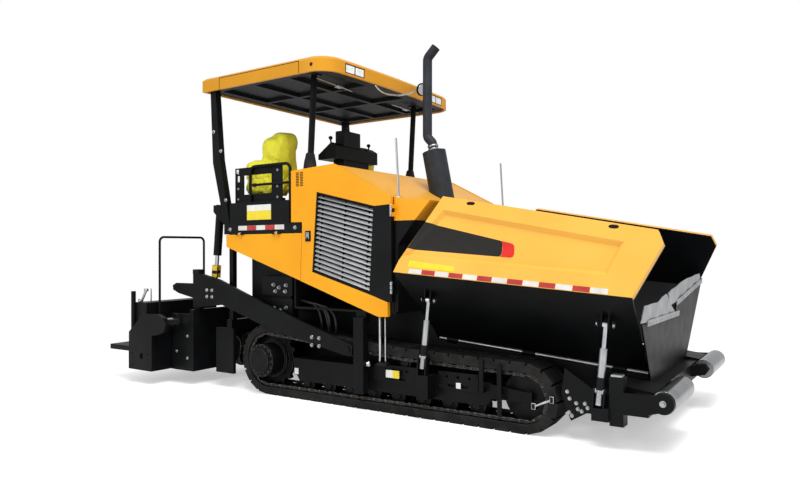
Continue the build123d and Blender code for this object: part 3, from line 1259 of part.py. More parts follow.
def lift_rod():
    """Rod of a screed lift cylinder with its eye."""
    reach = hypot(LIFT_TOP[0] - LIFT_LOW[0], LIFT_TOP[1] - LIFT_LOW[1])
    with BuildPart() as rod:
        bar(on_lift(LIFT_ROD_START), on_lift(reach), LIFT_ROD)
        drum(LIFT_LOW[0], LIFT_LOW[1], 42, -LIFT_Y - LIFT_RADIUS, -LIFT_Y + 22)
        drum(LIFT_LOW[0], LIFT_LOW[1], 20, -LIFT_Y - LIFT_RADIUS - 1, -LIFT_Y + 23, Mode.SUBTRACT)
    return rod.part


# ---------------------------------------------------------------- write every piece
def main():
    """Build and write all pieces."""
    save_pair("track", track())
    save_both("track_frames", track_frame())
    save_both("running_gear", running_gear())
    save_both("final_drives", final_drive())
    save("chassis_frame", chassis_frame())
    save("conveyor", conveyor())
    save("push_beam", push_beam())
    save_pair("push_roller", push_roller())
    save("hopper_rear_wall", hopper_rear_wall())
    save("cowl", cowl())
    save("hopper_apron", hopper_apron())
    save("hopper_flaps", hopper_flaps())
    save_both("wing_hinges", wing_hinge())
    wall = wing_wall()
    save_pair("wing_wall", wall)
    save_pair("wing_cover", wing_cover(wall))
    save_pair("wing_cylinder", wing_cylinder())
    save_pair("wing_rod", wing_rod())
    save("engine_block", engine_block())
    save("hood_shell", hood_shell())
    save_pair("service_door", service_door())
    save_pair("vent_panel", vent_panel())
    save_pair("vent_slats", vent_slats())
    save_pair("rear_panel", rear_panel())
    save("muffler", muffler())
    save("exhaust_pipe", exhaust_pipe())
    save("marker_rods", marker_rods())
    save("tank_housing", tank_housing())
    save("platform", platform())
    save_both("side_boxes", side_box())
    save_both("guard_rails", guard_rail())
    save("console", console())
    save_pair("seat", seat())
    save_both("canopy_posts", rear_post() + front_post())
    save("canopy_roof", canopy_roof())
    save("roof_lamps", roof_lamps())
    save("canopy_liner", canopy_liner())
    save("tow_slider", tow_slider())
    save_both("tow_arms", tow_arm())
    save("screed_body", screed_body())
    save_pair("screed_extension", screed_extension())
    save_pair("guide_tube", guide_tube())
    save_pair("auger", auger())
    save("auger_frame", auger_frame())
    save_both("lift_cylinders", lift_cylinder())
    save_both("lift_rods", lift_rod())


main()
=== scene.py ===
"""Tracked asphalt paver: finishes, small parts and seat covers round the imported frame.

Metres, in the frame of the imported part: +X is the direction of travel, +Y the left-hand side, +Z up.
"""
import math

import bmesh
import bpy
from mathutils import Matrix, Vector, noise


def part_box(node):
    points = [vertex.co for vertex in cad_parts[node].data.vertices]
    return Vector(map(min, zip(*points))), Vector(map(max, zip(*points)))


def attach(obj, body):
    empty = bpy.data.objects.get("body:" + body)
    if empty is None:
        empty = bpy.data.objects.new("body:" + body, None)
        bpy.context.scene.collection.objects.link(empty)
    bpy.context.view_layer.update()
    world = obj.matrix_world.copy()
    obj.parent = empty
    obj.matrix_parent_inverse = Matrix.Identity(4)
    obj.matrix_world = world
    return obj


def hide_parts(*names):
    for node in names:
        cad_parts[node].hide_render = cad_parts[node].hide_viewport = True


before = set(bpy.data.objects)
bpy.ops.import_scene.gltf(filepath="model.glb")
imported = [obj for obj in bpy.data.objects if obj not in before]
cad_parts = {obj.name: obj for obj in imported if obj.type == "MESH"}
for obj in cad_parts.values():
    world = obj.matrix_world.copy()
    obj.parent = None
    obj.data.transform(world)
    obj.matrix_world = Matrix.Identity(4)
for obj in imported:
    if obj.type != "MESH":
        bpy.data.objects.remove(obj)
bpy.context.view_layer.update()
BOTH = (("right", -1), ("left", 1))  # name of a side and the sign of its Y


# ---------------------------------------------------------------- painted sheet metal
# Hood, doors, cowl, wing covers and canopy are folded and pressed steel sheet in two-pack
# polyurethane enamel. The paint is smooth and semi-gloss, with a slight orange-peel, paler where
# it has been polished and a little darker where road dust and hand marks have dulled it.
def linear(code):
    """An sRGB hex colour as linear RGBA."""
    channels = [int(code[i:i + 2], 16) / 255 for i in (1, 3, 5)]
    return [c / 12.92 if c <= 0.04045 else ((c + 0.055) / 1.055) ** 2.4 for c in channels] + [1.0]


def add_node(tree, kind, links=(), **settings):
    """A node with its settings; each link is (input, value or another node's output)."""
    made = tree.nodes.new(kind)
    for name, value in settings.items():
        setattr(made, name, value)
    for socket, value in links:
        if isinstance(value, bpy.types.NodeSocket):
            tree.links.new(value, made.inputs[socket])
        else:
            made.inputs[socket].default_value = value
    return made


def new_material(name, **constants):
    """A material with a Principled shader whose constant sockets are set; returns material, tree and shader."""
    made = bpy.data.materials.new(name)
    made.use_nodes = True
    tree = made.node_tree
    shader = tree.nodes["Principled BSDF"]
    for socket, value in constants.items():
        shader.inputs[socket.replace("_", " ")].default_value = value
    return made, tree, shader


def roughness(tree, shader, source, low, high):
    """Lets the shader's roughness drift between two values with a factor from 0 to 1."""
    level = add_node(tree, "ShaderNodeMapRange", [("Value", source), ("To Min", low), ("To Max", high)])
    tree.links.new(level.outputs["Result"], shader.inputs["Roughness"])


def noise_cloud(tree, place, scale, detail=2.0):
    """A noise pattern's factor; scale is patches per metre."""
    return add_node(tree, "ShaderNodeTexNoise", [
        ("Vector", place), ("Scale", scale), ("Detail", detail)]).outputs["Fac"]


def worked(tree, operation, first, second=0.5):
    """The value of a maths node."""
    return add_node(tree, "ShaderNodeMath", [(0, first), (1, second)], operation=operation).outputs["Value"]


def tinted(tree, share, tone, code):
    """A colour mixed towards a hex colour by a share."""
    return add_node(tree, "ShaderNodeMix", [
        ("Factor", share), (6, tone), (7, linear(code))], data_type="RGBA").outputs[2]


def mottle(tree, pale, dark, scale, low=0.35, high=0.7, detail=4.0):
    """Colour that drifts between two tones in soft patches; scale is patches per metre."""
    place = add_node(tree, "ShaderNodeTexCoord").outputs["Object"]
    ramp = add_node(tree, "ShaderNodeValToRGB", [("Fac", noise_cloud(tree, place, scale, detail))])
    for stop, at, code in zip(ramp.color_ramp.elements, (low, high), (dark, pale)):
        stop.position, stop.color = at, linear(code)
    return place, ramp.outputs["Color"]


def rounded_bump(tree, shader, height, strength, depth, edge=0.004):
    """A bump on normals that are rounded over sharp edges by a real edge radius."""
    soft = add_node(tree, "ShaderNodeBevel", [("Radius", edge)], samples=4)
    bump = add_node(tree, "ShaderNodeBump", [
        ("Height", height), ("Normal", soft.outputs["Normal"]), ("Strength", strength), ("Distance", depth)])
    tree.links.new(bump.outputs["Normal"], shader.inputs["Normal"])
    return soft


def surface(tree, shader, tone, pattern, strength, depth, low, high, edge=0.004):
    """A plain surface: its colour, and its bump and roughness from one pattern."""
    tree.links.new(tone, shader.inputs["Base Color"])
    roughness(tree, shader, pattern, low, high)
    rounded_bump(tree, shader, pattern, strength, depth, edge)


def edge_mask(tree, soft, low, high):
    """One on worn outer edges and zero on flats, from how far the rounded normal leaves the flat one."""
    flat = add_node(tree, "ShaderNodeNewGeometry").outputs["Normal"]
    dot = add_node(tree, "ShaderNodeVectorMath", [(0, soft.outputs["Normal"]), (1, flat)], operation="DOT_PRODUCT")
    return add_node(tree, "ShaderNodeMapRange", [
        ("Value", dot.outputs["Value"]), ("From Min", high), ("From Max", low)]).outputs["Result"]


def enamel(name, pale, dark, gloss):
    """Semi-gloss enamel on sheet metal: drifting tone, orange-peel about 4 mm across, worn edges and haze."""
    made, tree, shader = new_material(
        name, Metallic=0.0, IOR=1.5, Specular_IOR_Level=0.18, Coat_Weight=0.08, Coat_Roughness=0.1)
    place, tone = mottle(tree, pale, dark, 1.3)
    peel = noise_cloud(tree, place, 250.0)
    soft = rounded_bump(tree, shader, peel, 0.05, 0.002)
    worn = edge_mask(tree, soft, 0.9, 0.99)
    scuffs = noise_cloud(tree, place, 38.0, 6.0)
    gate = worked(tree, "MULTIPLY", scuffs, worn)
    share = add_node(tree, "ShaderNodeMapRange", [
        ("Value", gate), ("From Min", 0.3), ("From Max", 0.75), ("To Max", 0.5)])
    mixed = tinted(tree, share.outputs["Result"], tone, "#FFD676")
    tree.links.new(mixed, shader.inputs["Base Color"])
    haze = noise_cloud(tree, place, 5.0, 5.0)
    roughness(tree, shader, haze, gloss, gloss + 0.14)
    return made


def coat(material, *nodes):
    """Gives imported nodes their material."""
    for name in nodes:
        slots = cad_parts[name].data.materials
        slots.clear()
        slots.append(material)


yellow_enamel = enamel("yellow_polyurethane_enamel", "#F6AC1A", "#EFA014", 0.3)
# The hopper wing covers get a paler copy of the same yellow. The paler tone is a painted reflection of the bright sky
# on their wide fields.
wing_enamel_paled_for_sky_reflection = enamel("yellow_polyurethane_enamel_with_painted_sky_reflection", "#F6BC52", "#F0B048", 0.3)
roof_enamel = enamel("yellow_gelcoat_on_moulded_canopy", "#DD9B25", "#D0901F", 0.34)
hood_enamel = enamel("yellow_enamel_over_black_primer", "#F3B347", "#E9A636", 0.3)


def object_axes(tree, output):
    """The X, Y and Z of a texture coordinate, such as the object's own normal."""
    return add_node(tree, "ShaderNodeSeparateXYZ", [
        (0, add_node(tree, "ShaderNodeTexCoord").outputs[output])]).outputs


def repaint(tree, share, code):
    """Covers what a finished material shows with a hex colour where the share is one."""
    base = tree.nodes["Principled BSDF"].inputs["Base Color"]
    tree.links.new(tinted(tree, share, base.links[0].from_socket, code), base)


# Only the hood's outside has the yellow coat: what faces down or forward, and all that lies lower
# than the doors' top, stays primed black.
tree = hood_enamel.node_tree
facing, place = object_axes(tree, "Normal"), object_axes(tree, "Object")
under = worked(tree, "LESS_THAN", facing["Z"], -0.3)
ahead = worked(tree, "GREATER_THAN", facing["X"], 0.7)
low = worked(tree, "LESS_THAN", place["Z"], 1.9)
repaint(tree, worked(tree, "MAXIMUM", worked(tree, "MAXIMUM", under, ahead), low), "#101112")
coat(hood_enamel, "hood_shell")
for side, _ in BOTH:
    coat(yellow_enamel, f"service_door_{side}", f"rear_panel_{side}")
    coat(wing_enamel_paled_for_sky_reflection, f"wing_cover_{side}")
coat(yellow_enamel, "cowl")
coat(roof_enamel, "canopy_roof")


# ---------------------------------------------------------------- chassis paint
# Frames, platform, screed and hopper walls are welded plate in satin black chassis enamel. It is
# rougher than the yellow, brushed pale along edges, and holds grey dust on what faces upwards.
def chassis_paint(name, pale, dark, rough_low, rough_high, dust):
    """Satin black enamel with scuffed edges; dust is the share of grey on what faces straight up."""
    made, tree, shader = new_material(name, Metallic=0.0, IOR=1.5, Specular_IOR_Level=0.12)
    place, tone = mottle(tree, pale, dark, 3.0)
    grain = noise_cloud(tree, place, 170.0, 3.0)
    soft = rounded_bump(tree, shader, grain, 0.12, 0.002)
    worn = edge_mask(tree, soft, 0.88, 0.985)
    scuffs = noise_cloud(tree, place, 24.0, 7.0)
    gate = worked(tree, "MULTIPLY", scuffs, worn)
    share = add_node(tree, "ShaderNodeMapRange", [
        ("Value", gate), ("From Min", 0.25), ("From Max", 0.8), ("To Max", 0.6)])
    edged = tinted(tree, share.outputs["Result"], tone, "#3C3E41")
    upward = add_node(tree, "ShaderNodeSeparateXYZ", [
        (0, add_node(tree, "ShaderNodeNewGeometry").outputs["Normal"])]).outputs["Z"]
    drift = noise_cloud(tree, place, 7.0, 8.0)
    settle = worked(tree, "MULTIPLY", upward, drift)
    film = add_node(tree, "ShaderNodeMapRange", [
        ("Value", settle), ("From Min", 0.3), ("From Max", 0.8), ("To Max", dust)])
    dusty = tinted(tree, film.outputs["Result"], edged, "#6B6862")
    tree.links.new(dusty, shader.inputs["Base Color"])
    roughness(tree, shader, drift, rough_low, rough_high)
    return made


black_enamel = chassis_paint("satin_black_chassis_enamel", "#131416", "#0B0C0D", 0.3, 0.5, dust=0.08)
hopper_black = chassis_paint("black_enamel_on_hopper_plate", "#0A0B0D", "#060708", 0.3, 0.48, dust=0.02)
deck_black = chassis_paint("black_anti_slip_deck_paint", "#1A1B1D", "#111213", 0.55, 0.8, dust=0.3)
for side, _ in BOTH:
    coat(black_enamel, f"vent_panel_{side}", f"screed_extension_{side}")
    coat(hopper_black, f"wing_wall_{side}")
coat(black_enamel, "chassis_frame", "push_beam", "tank_housing", "side_boxes", "guard_rails", "console",
     "canopy_posts", "tow_slider", "tow_arms", "screed_body", "auger_frame", "lift_cylinders", "track_frames")
coat(hopper_black, "hopper_rear_wall", "hopper_apron")
coat(deck_black, "platform")


# ---------------------------------------------------------------- running gear, chains and augers
# Rollers, idlers, sprockets, conveyor bars, hinge pins and auger blades are cast or hard-faced steel.
# It is dark brown-grey, grainy from the mould, and bright where mix, chain and ground rub it.
def cast_steel(name, pale, dark, rub, rough):
    """Dark cast steel with sand-mould grain about 3 mm across and rubbed bright edges."""
    made, tree, shader = new_material(name, Metallic=0.75, Specular_IOR_Level=0.5)
    place, tone = mottle(tree, pale, dark, 9.0)
    grain = noise_cloud(tree, place, 330.0, 4.0)
    soft = rounded_bump(tree, shader, grain, 0.3, 0.002, edge=0.005)
    worn = edge_mask(tree, soft, 0.85, 0.98)
    share = worked(tree, "MULTIPLY", worn, rub)
    mixed = tinted(tree, share, tone, "#A7A39D")
    tree.links.new(mixed, shader.inputs["Base Color"])
    roughness(tree, shader, grain, rough - 0.08, rough + 0.12)
    return made


dark_cast = cast_steel("dark_cast_steel", "#1D1D1F", "#101011", 0.5, 0.5)
rubbed_cast = cast_steel("rubbed_manganese_steel", "#3D3B39", "#262423", 0.8, 0.42)
coat(dark_cast, "running_gear", "final_drives")
coat(rubbed_cast, "conveyor", "auger_right", "auger_left")


# ---------------------------------------------------------------- bright metal
# Cylinder rods, push rollers and screed guide tubes are hard-chromed and ground; hinge pins and
# cylinder stages are zinc-plated steel; louvres and flaps are galvanised and rolled sheet.
def bright_metal(name, pale, dark, rough, grain_scale, depth):
    """Bare bright metal with fine streaks; the scale is wider along X than the real grit, so that it shows."""
    made, tree, shader = new_material(name, Metallic=1.0)
    place, tone = mottle(tree, pale, dark, 6.0)
    stretch = add_node(tree, "ShaderNodeMapping", [("Vector", place), ("Scale", (0.15, 1.0, 1.0))])
    streak = add_node(tree, "ShaderNodeTexNoise", [
        ("Vector", stretch.outputs["Vector"]), ("Scale", grain_scale), ("Detail", 3.0)])
    surface(tree, shader, tone, streak.outputs["Fac"], depth, 0.001, rough, rough + 0.12, edge=0.002)
    return made


hard_chrome = bright_metal("hard_chrome", "#D5D7DA", "#BFC1C4", 0.12, 300.0, 0.04)
zinc_plate = bright_metal("zinc_plated_steel", "#C6C8CA", "#A6A8AB", 0.3, 220.0, 0.08)
galvanised = bright_metal("galvanised_sheet", "#C4C6C8", "#A9ABAE", 0.38, 160.0, 0.1)
roller_steel = bright_metal("ground_roller_steel", "#A5A7AA", "#8B8D90", 0.16, 240.0, 0.06)
louvre_steel = bright_metal("rolled_aluminium_louvre", "#D9DADC", "#C3C5C8", 0.42, 160.0, 0.08)
# The carrier strips behind the slats face straight out or fore and aft; they are primed black.
tree = louvre_steel.node_tree
facing = object_axes(tree, "Normal")
squarely = worked(tree, "MAXIMUM", worked(tree, "ABSOLUTE", facing["Y"]), worked(tree, "ABSOLUTE", facing["X"]))
repaint(tree, worked(tree, "GREATER_THAN", squarely, 0.95), "#0C0C0D")
for side, _ in BOTH:
    coat(roller_steel, f"push_roller_{side}")
    coat(hard_chrome, f"guide_tube_{side}", f"wing_rod_{side}")
    coat(zinc_plate, f"wing_cylinder_{side}")
    coat(louvre_steel, f"vent_slats_{side}")
coat(hard_chrome, "lift_rods", "marker_rods")
coat(zinc_plate, "wing_hinges")
coat(galvanised, "hopper_flaps")


# ---------------------------------------------------------------- exhaust and engine
# The silencer and its pipe are mild steel in slate-grey heat paint, dry and slightly streaked by
# heat; the engine block behind the louvres is cast iron in the same grey.
slate_paint, tree, shader = new_material("slate_heat_resistant_paint", Metallic=0.1, Specular_IOR_Level=0.15)
place, tone = mottle(tree, "#373B42", "#2A2D33", 4.0)
dry = noise_cloud(tree, place, 400.0)
surface(tree, shader, tone, dry, 0.15, 0.001, 0.42, 0.58)
coat(slate_paint, "muffler", "exhaust_pipe", "engine_block")


# ---------------------------------------------------------------- track pads
# Each shoe carries a moulded rubber pad, matt black and scuffed grey where it meets the ground,
# with a pebbled skin from the mould.
pad_rubber, tree, shader = new_material("scuffed_track_pad_rubber", Metallic=0.0, IOR=1.52, Specular_IOR_Level=0.15)
place, tone = mottle(tree, "#2B2A29", "#171616", 8.0, detail=8.0)
pebble = add_node(tree, "ShaderNodeTexVoronoi", [("Vector", place), ("Scale", 190.0)])
soft = rounded_bump(tree, shader, pebble.outputs["Distance"], 0.25, 0.002, edge=0.008)
worn = edge_mask(tree, soft, 0.85, 0.98)
scuff = worked(tree, "MULTIPLY", worn, 0.45)
pad_tone = tinted(tree, scuff, tone, "#57544F")
tree.links.new(pad_tone, shader.inputs["Base Color"])
roughness(tree, shader, pebble.outputs["Distance"], 0.6, 0.8)
coat(pad_rubber, "track_right", "track_left")


# ---------------------------------------------------------------- canopy lining
# The ribbed lining under the canopy is vacuum-formed black ABS with a leather-like haircell grain.
lining_abs, tree, shader = new_material("black_haircell_abs", Metallic=0.0, IOR=1.54, Specular_IOR_Level=0.12)
place, tone = mottle(tree, "#1B1C1F", "#121315", 2.0)
cells = add_node(tree, "ShaderNodeTexVoronoi", [("Vector", place), ("Scale", 420.0)])
surface(tree, shader, tone, cells.outputs["Distance"], 0.3, 0.001, 0.42, 0.6, edge=0.012)
coat(lining_abs, "canopy_liner")


# ---------------------------------------------------------------- canopy trim, work lamps and mirror
# A long inset hatch down each side of the moulded canopy shows as a dark seam, with a round drain
# hole ahead of it; both are drawn in black as painted shade of the groove and the hole. The lamps are
# polycarbonate lenses in black bezels; a mirror stands on a bent chromed rod, and zinc-plated grab
# bars are screwed under the roof.
def turned(mesh, start, toward, stations, sides=24, tone=0):
    """Adds a form turned about the line from start towards a point; stations are (distance, radius)."""
    axis = (Vector(toward) - Vector(start)).normalized()
    across = axis.orthogonal().normalized()
    other = axis.cross(across)
    rings = []
    for distance, radius in stations:
        centre = Vector(start) + axis * distance
        rings.append([mesh.verts.new(centre + radius * (
            math.cos(2 * math.pi * i / sides) * across + math.sin(2 * math.pi * i / sides) * other))
            for i in range(sides)])
    for low, high in zip(rings, rings[1:]):
        for i in range(sides):
            face = mesh.faces.new((low[i], low[(i + 1) % sides], high[(i + 1) % sides], high[i]))
            face.smooth, face.material_index = sides > 8, tone
    for ring in (rings[0][::-1], rings[-1]):
        mesh.faces.new(ring).material_index = tone


def round_bar(mesh, start, end, radius, sides=16, tone=0):
    """Adds a round bar with a small chamfer at both ends."""
    length = (Vector(end) - Vector(start)).length
    lip = min(0.2 * radius, 0.2 * length)
    stations = ((0, radius - lip), (lip, radius), (length - lip, radius), (length, radius - lip))
    turned(mesh, start, end, stations, sides, tone)


def slab(mesh, low, high, edge, tone=0):
    """Adds a block between two corners with its edges rounded over."""
    low, high = [min(pair) for pair in zip(low, high)], [max(pair) for pair in zip(low, high)]
    made = bmesh.ops.create_cube(mesh, size=1.0)["verts"]
    for vert in made:
        vert.co = [low[i] + (vert.co[i] + 0.5) * (high[i] - low[i]) for i in range(3)]
    edges = list(dict.fromkeys(line for vert in made for line in vert.link_edges))
    for face in {face for vert in made for face in vert.link_faces}:
        face.material_index = tone
    edge = min(edge, 0.4 * min(h - l for l, h in zip(low, high)))
    bmesh.ops.bevel(mesh, geom=edges, offset=edge, segments=2, affect="EDGES", profile=0.5)


def prism(mesh, outline, push, tone=0):
    """Adds a plate with that outline of points, pushed along a vector to its thickness."""
    push = Vector(push)
    near = [mesh.verts.new(Vector(point)) for point in outline]
    far = [mesh.verts.new(Vector(point) + push) for point in outline]
    mesh.faces.new(near[::-1]).material_index = tone
    mesh.faces.new(far).material_index = tone
    for i in range(len(near)):
        j = (i + 1) % len(near)
        mesh.faces.new((near[i], near[j], far[j], far[i])).material_index = tone


def placed(name, data):
    """A new object in the scene, at the origin."""
    made = bpy.data.objects.new(name, data)
    bpy.context.collection.objects.link(made)
    return made


def fitted(name, mesh, body, slot, *materials):
    """Finishes a mesh as a piece in its material that rides on a body of the machine."""
    bmesh.ops.recalc_face_normals(mesh, faces=mesh.faces)
    data = bpy.data.meshes.new(name)
    mesh.to_mesh(data)
    mesh.free()
    made = placed(name, data)
    for material in materials:
        data.materials.append(material)
    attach(made, body)


# This black paints the shade inside narrow grooves, punched slots and holes: thin strips, slabs and plates of it stand
# where those openings would be dark.
painted_shade_black, tree, shader = new_material("black_painted_shade_in_seams_slots_and_holes", Metallic=0.0, IOR=1.5, Specular_IOR_Level=0.2)
place, tone = mottle(tree, "#1A1916", "#0E0D0C", 30.0)
surface(tree, shader, tone, noise_cloud(tree, place, 300.0), 0.2, 0.001, 0.6, 0.85)

bead_black = chassis_paint("black_powder_coat_on_small_fittings", "#1B1C1E", "#121314", 0.35, 0.5, dust=0.1)

lens_glow, tree, shader = new_material(
    "frosted_polycarbonate_lens", Metallic=0.0, IOR=1.58, Coat_Weight=0.6, Coat_Roughness=0.05, Roughness=0.18)
place, tone = mottle(tree, "#FBFCFD", "#DDE2E6", 26.0, low=0.3, high=0.6)
tree.links.new(tone, shader.inputs["Base Color"])
flutes = add_node(tree, "ShaderNodeTexWave", [("Vector", place), ("Scale", 42.0)], bands_direction="Y")
rounded_bump(tree, shader, flutes.outputs["Fac"], 0.35, 0.002, edge=0.003)
coat(lens_glow, "roof_lamps")

ROOF_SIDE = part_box("canopy_roof")[1].y
LAMP_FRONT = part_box("roof_lamps")[1].x
SEAM = 0.007  # width of the hatch seam
bezels = bmesh.new()
for _, sign in BOTH:
    for inner, outer in ((0.712, 0.850), (0.869, 1.007)):
        for y0, y1, z0, z1 in ((inner - 0.012, inner, 3.500, 3.594), (outer, outer + 0.012, 3.500, 3.594),
                               (inner, outer, 3.500, 3.507), (inner, outer, 3.587, 3.594)):
            front = LAMP_FRONT - 0.004 - 0.045 * (abs(y0 + y1) / 2 - 0.712)
            slab(bezels, (front - 0.012, sign * y0, z0), (front + 0.003, sign * y1, z1), 0.002)
fitted("lamp_bezels", bezels, "chassis", "black_paint", bead_black)
seams = bmesh.new()
for _, sign in BOTH:
    face = sign * (ROOF_SIDE - 0.002)
    proud = sign * (ROOF_SIDE + 0.0015)
    for x0, x1, z0, z1 in ((-1.62, -0.385, 3.606, 3.606 + SEAM), (-1.62, -1.62 + SEAM, 3.482, 3.606),
                           (-0.385 - SEAM, -0.385, 3.482, 3.606)):
        slab(seams, (x0, face, z0), (x1, proud, z1), 0.0008)
    turned(seams, (-0.219, face, 3.552), (-0.219, proud, 3.552), ((0, 0.018), (0.0035, 0.018)))
fitted("canopy_seams", seams, "chassis", "black_paint", painted_shade_black)

mirror_glass, tree, shader = new_material("silvered_mirror_glass", Metallic=1.0)
place, tone = mottle(tree, "#E3E7EA", "#C9CED3", 5.0)
tree.links.new(tone, shader.inputs["Base Color"])
roughness(tree, shader, noise_cloud(tree, place, 9.0), 0.04, 0.1)


def evaluated(thing):
    """The mesh that an object shows once its curve or modifiers are worked out."""
    bpy.context.view_layer.update()
    return bpy.data.meshes.new_from_object(thing.evaluated_get(bpy.context.evaluated_depsgraph_get()))


def bent_pipe(name, points, radius, material, slot):
    """A pipe on the chassis, bent on a smooth line through its points, as a mesh with closed ends."""
    line = bpy.data.curves.new(name + "_line", "CURVE")
    line.dimensions, line.use_fill_caps = "3D", True
    line.bevel_depth, line.bevel_resolution, line.resolution_u = radius, 4, 8
    run = line.splines.new("BEZIER")
    run.bezier_points.add(len(points) - 1)
    for knot, point in zip(run.bezier_points, points):
        knot.co = point
        knot.handle_left_type = knot.handle_right_type = "AUTO"
    guide = placed(name + "_guide", line)
    data = evaluated(guide)
    bpy.data.objects.remove(guide)
    shape = bmesh.new()
    shape.from_mesh(data)
    bpy.data.meshes.remove(data)
    bmesh.ops.remove_doubles(shape, verts=shape.verts, dist=1e-5)
    for face in shape.faces:
        face.smooth, face.material_index = True, 0
    fitted(name, shape, "chassis", slot, material)


bent_pipe("mirror_rod", [(0.0, -0.489, 3.47), (0.045, -0.43, 3.40), (0.10, -0.25, 3.388), (0.13, -0.02, 3.44),
                         (0.11, 0.22, 3.53)], 0.009, hard_chrome, "chrome")
mirror = bmesh.new()
MIRROR_BACK, MIRROR_FACE, MIRROR_AIM = (0.11, 0.30, 3.56), (0.145, 0.291, 3.551), (0.35, 0.24, 3.50)
turned(mirror, MIRROR_BACK, MIRROR_AIM, (
    (0, 0.02), (0.004, 0.062), (0.016, 0.076), (0.03, 0.078), (0.036, 0.072)), 32)
turned(mirror, MIRROR_FACE, MIRROR_AIM, ((0, 0.066), (0.003, 0.06)), 32, tone=1)
round_bar(mirror, (0.105, 0.215, 3.53), (0.112, 0.30, 3.56), 0.011)
fitted("roof_mirror", mirror, "chassis", "black_paint", bead_black, mirror_glass)

bars = bmesh.new()
round_bar(bars, (-0.386, -1.04, 3.489), (-0.446, -0.335, 3.489), 0.008, 10)
round_bar(bars, (-0.468, 0.536, 3.489), (-0.479, 1.202, 3.489), 0.008, 10)
slab(bars, (-0.45, -0.66, 3.470), (-0.38, -0.57, 3.497), 0.006)
slab(bars, (-0.50, 0.82, 3.470), (-0.44, 0.92, 3.497), 0.006)
fitted("canopy_grab_bars", bars, "chassis", "bright_steel", zinc_plate)


# ---------------------------------------------------------------- bolts
# Plates, covers and arms are held by zinc-plated hex bolts with pressed washers, which catch the
# light as pale dots on the black paint. A tree sets them out, each square to its own face.
def stand_tree(name, axis, material, shapes):
    """A node tree that stands a shape on each point, its axis turned the way the point says.

    The shapes are a function that adds their nodes to the tree and lists their geometry.
    """
    tree = bpy.data.node_groups.new(name, "GeometryNodeTree")
    for label, way, kind in (("Places", "INPUT", "Geometry"), ("Width", "INPUT", "Float"),
                             ("Height", "INPUT", "Float"), ("Shapes", "OUTPUT", "Geometry")):
        tree.interface.new_socket(label, in_out=way, socket_type=f"NodeSocket{kind}")
    given = tree.nodes.new("NodeGroupInput").outputs
    joined = add_node(tree, "GeometryNodeJoinGeometry")
    for shape in shapes(tree):
        tree.links.new(shape, joined.inputs[0])
    way = add_node(tree, "GeometryNodeInputNamedAttribute", [("Name", "facing")], data_type="FLOAT_VECTOR")
    turn = add_node(tree, "FunctionNodeAlignRotationToVector", [("Vector", way.outputs["Attribute"])], axis=axis)
    size = add_node(tree, "ShaderNodeCombineXYZ", [
        ("X", given["Width"]), ("Y", given["Width" if axis == "Z" else "Height"]), ("Z", given["Height"])])
    stood = add_node(tree, "GeometryNodeInstanceOnPoints", [
        ("Points", given["Places"]), ("Instance", joined.outputs[0]), ("Rotation", turn.outputs["Rotation"]),
        ("Scale", size.outputs["Vector"])])
    real = add_node(tree, "GeometryNodeRealizeInstances", [("Geometry", stood.outputs["Instances"])])
    dressed = add_node(tree, "GeometryNodeSetMaterial", [
        ("Geometry", real.outputs["Geometry"]), ("Material", material)])
    add_node(tree, "NodeGroupOutput", [("Shapes", dressed.outputs["Geometry"])])
    return tree


def hex_bolt(tree):
    """A washer and a hex head, one unit across and one high."""
    head, washer = [add_node(tree, "GeometryNodeMeshCone", [
        ("Vertices", sides), ("Radius Top", top), ("Radius Bottom", foot), ("Depth", depth)]).outputs["Mesh"]
        for sides, top, foot, depth in ((6, 0.44, 0.5, 0.8), (12, 0.62, 0.68, 0.2))]
    raised = add_node(tree, "GeometryNodeTransform", [("Geometry", head), ("Translation", (0, 0, 0.2))])
    return washer, raised.outputs["Geometry"]


zinc_bolts = stand_tree("zinc_bolts", "Z", zinc_plate, hex_bolt)
black_bolts = stand_tree("black_bolts", "Z", bead_black, hex_bolt)


def bolted(name, body, places, across, height, tree=zinc_bolts):
    """Stands a tree's shape on a body; places are (point, facing) pairs."""
    marks = bpy.data.meshes.new(name + "_marks")
    marks.from_pydata([point for point, _ in places], [], [])
    facing = marks.attributes.new("facing", "FLOAT_VECTOR", "POINT")
    facing.data.foreach_set("vector", [part for _, way in places for part in way])
    stand = placed(name + "_stand", marks)
    laid = stand.modifiers.new("laid", "NODES")
    laid.node_group = tree
    sockets = {item.name: item.identifier for item in tree.interface.items_tree if item.in_out == "INPUT"}
    laid[sockets["Width"]], laid[sockets["Height"]] = across, height
    data = evaluated(stand)
    bpy.data.objects.remove(stand)
    made = placed(name, data)
    data.name = name
    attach(made, body)


def mirrored(places):
    """The same places on both sides of the machine."""
    return places + [((x, -y, z), (a, -b, c)) for (x, y, z), (a, b, c) in places]


OUT = (0, -1, 0)  # outwards on the right-hand side


# ---------------------------------------------------------------- wing covers
# Each pressed cover carries a strip of micro-prismatic tape in white and red along its lower edge, a
# black vinyl band that tapers to a rounded red end, a blank plate, and two slotted lifting holes.
COVER_CORNER = Vector((0.846, -1.394, 1.396))  # rear end of the cover's lower edge, right-hand wing
COVER_ALONG, COVER_UP, COVER_OUT = (
    Vector((0.99715, -0.00724, -0.07507)), Vector((0.07390, 0.29262, 0.95337)), Vector((0.01507, -0.95620, 0.29232)))


def on_cover(along, up, out, sign):
    """A point on a wing cover, in metres along its lower edge, up its face and out of it."""
    point = COVER_CORNER + along * COVER_ALONG + up * COVER_UP + out * COVER_OUT
    return Vector((point.x, -sign * point.y, point.z))


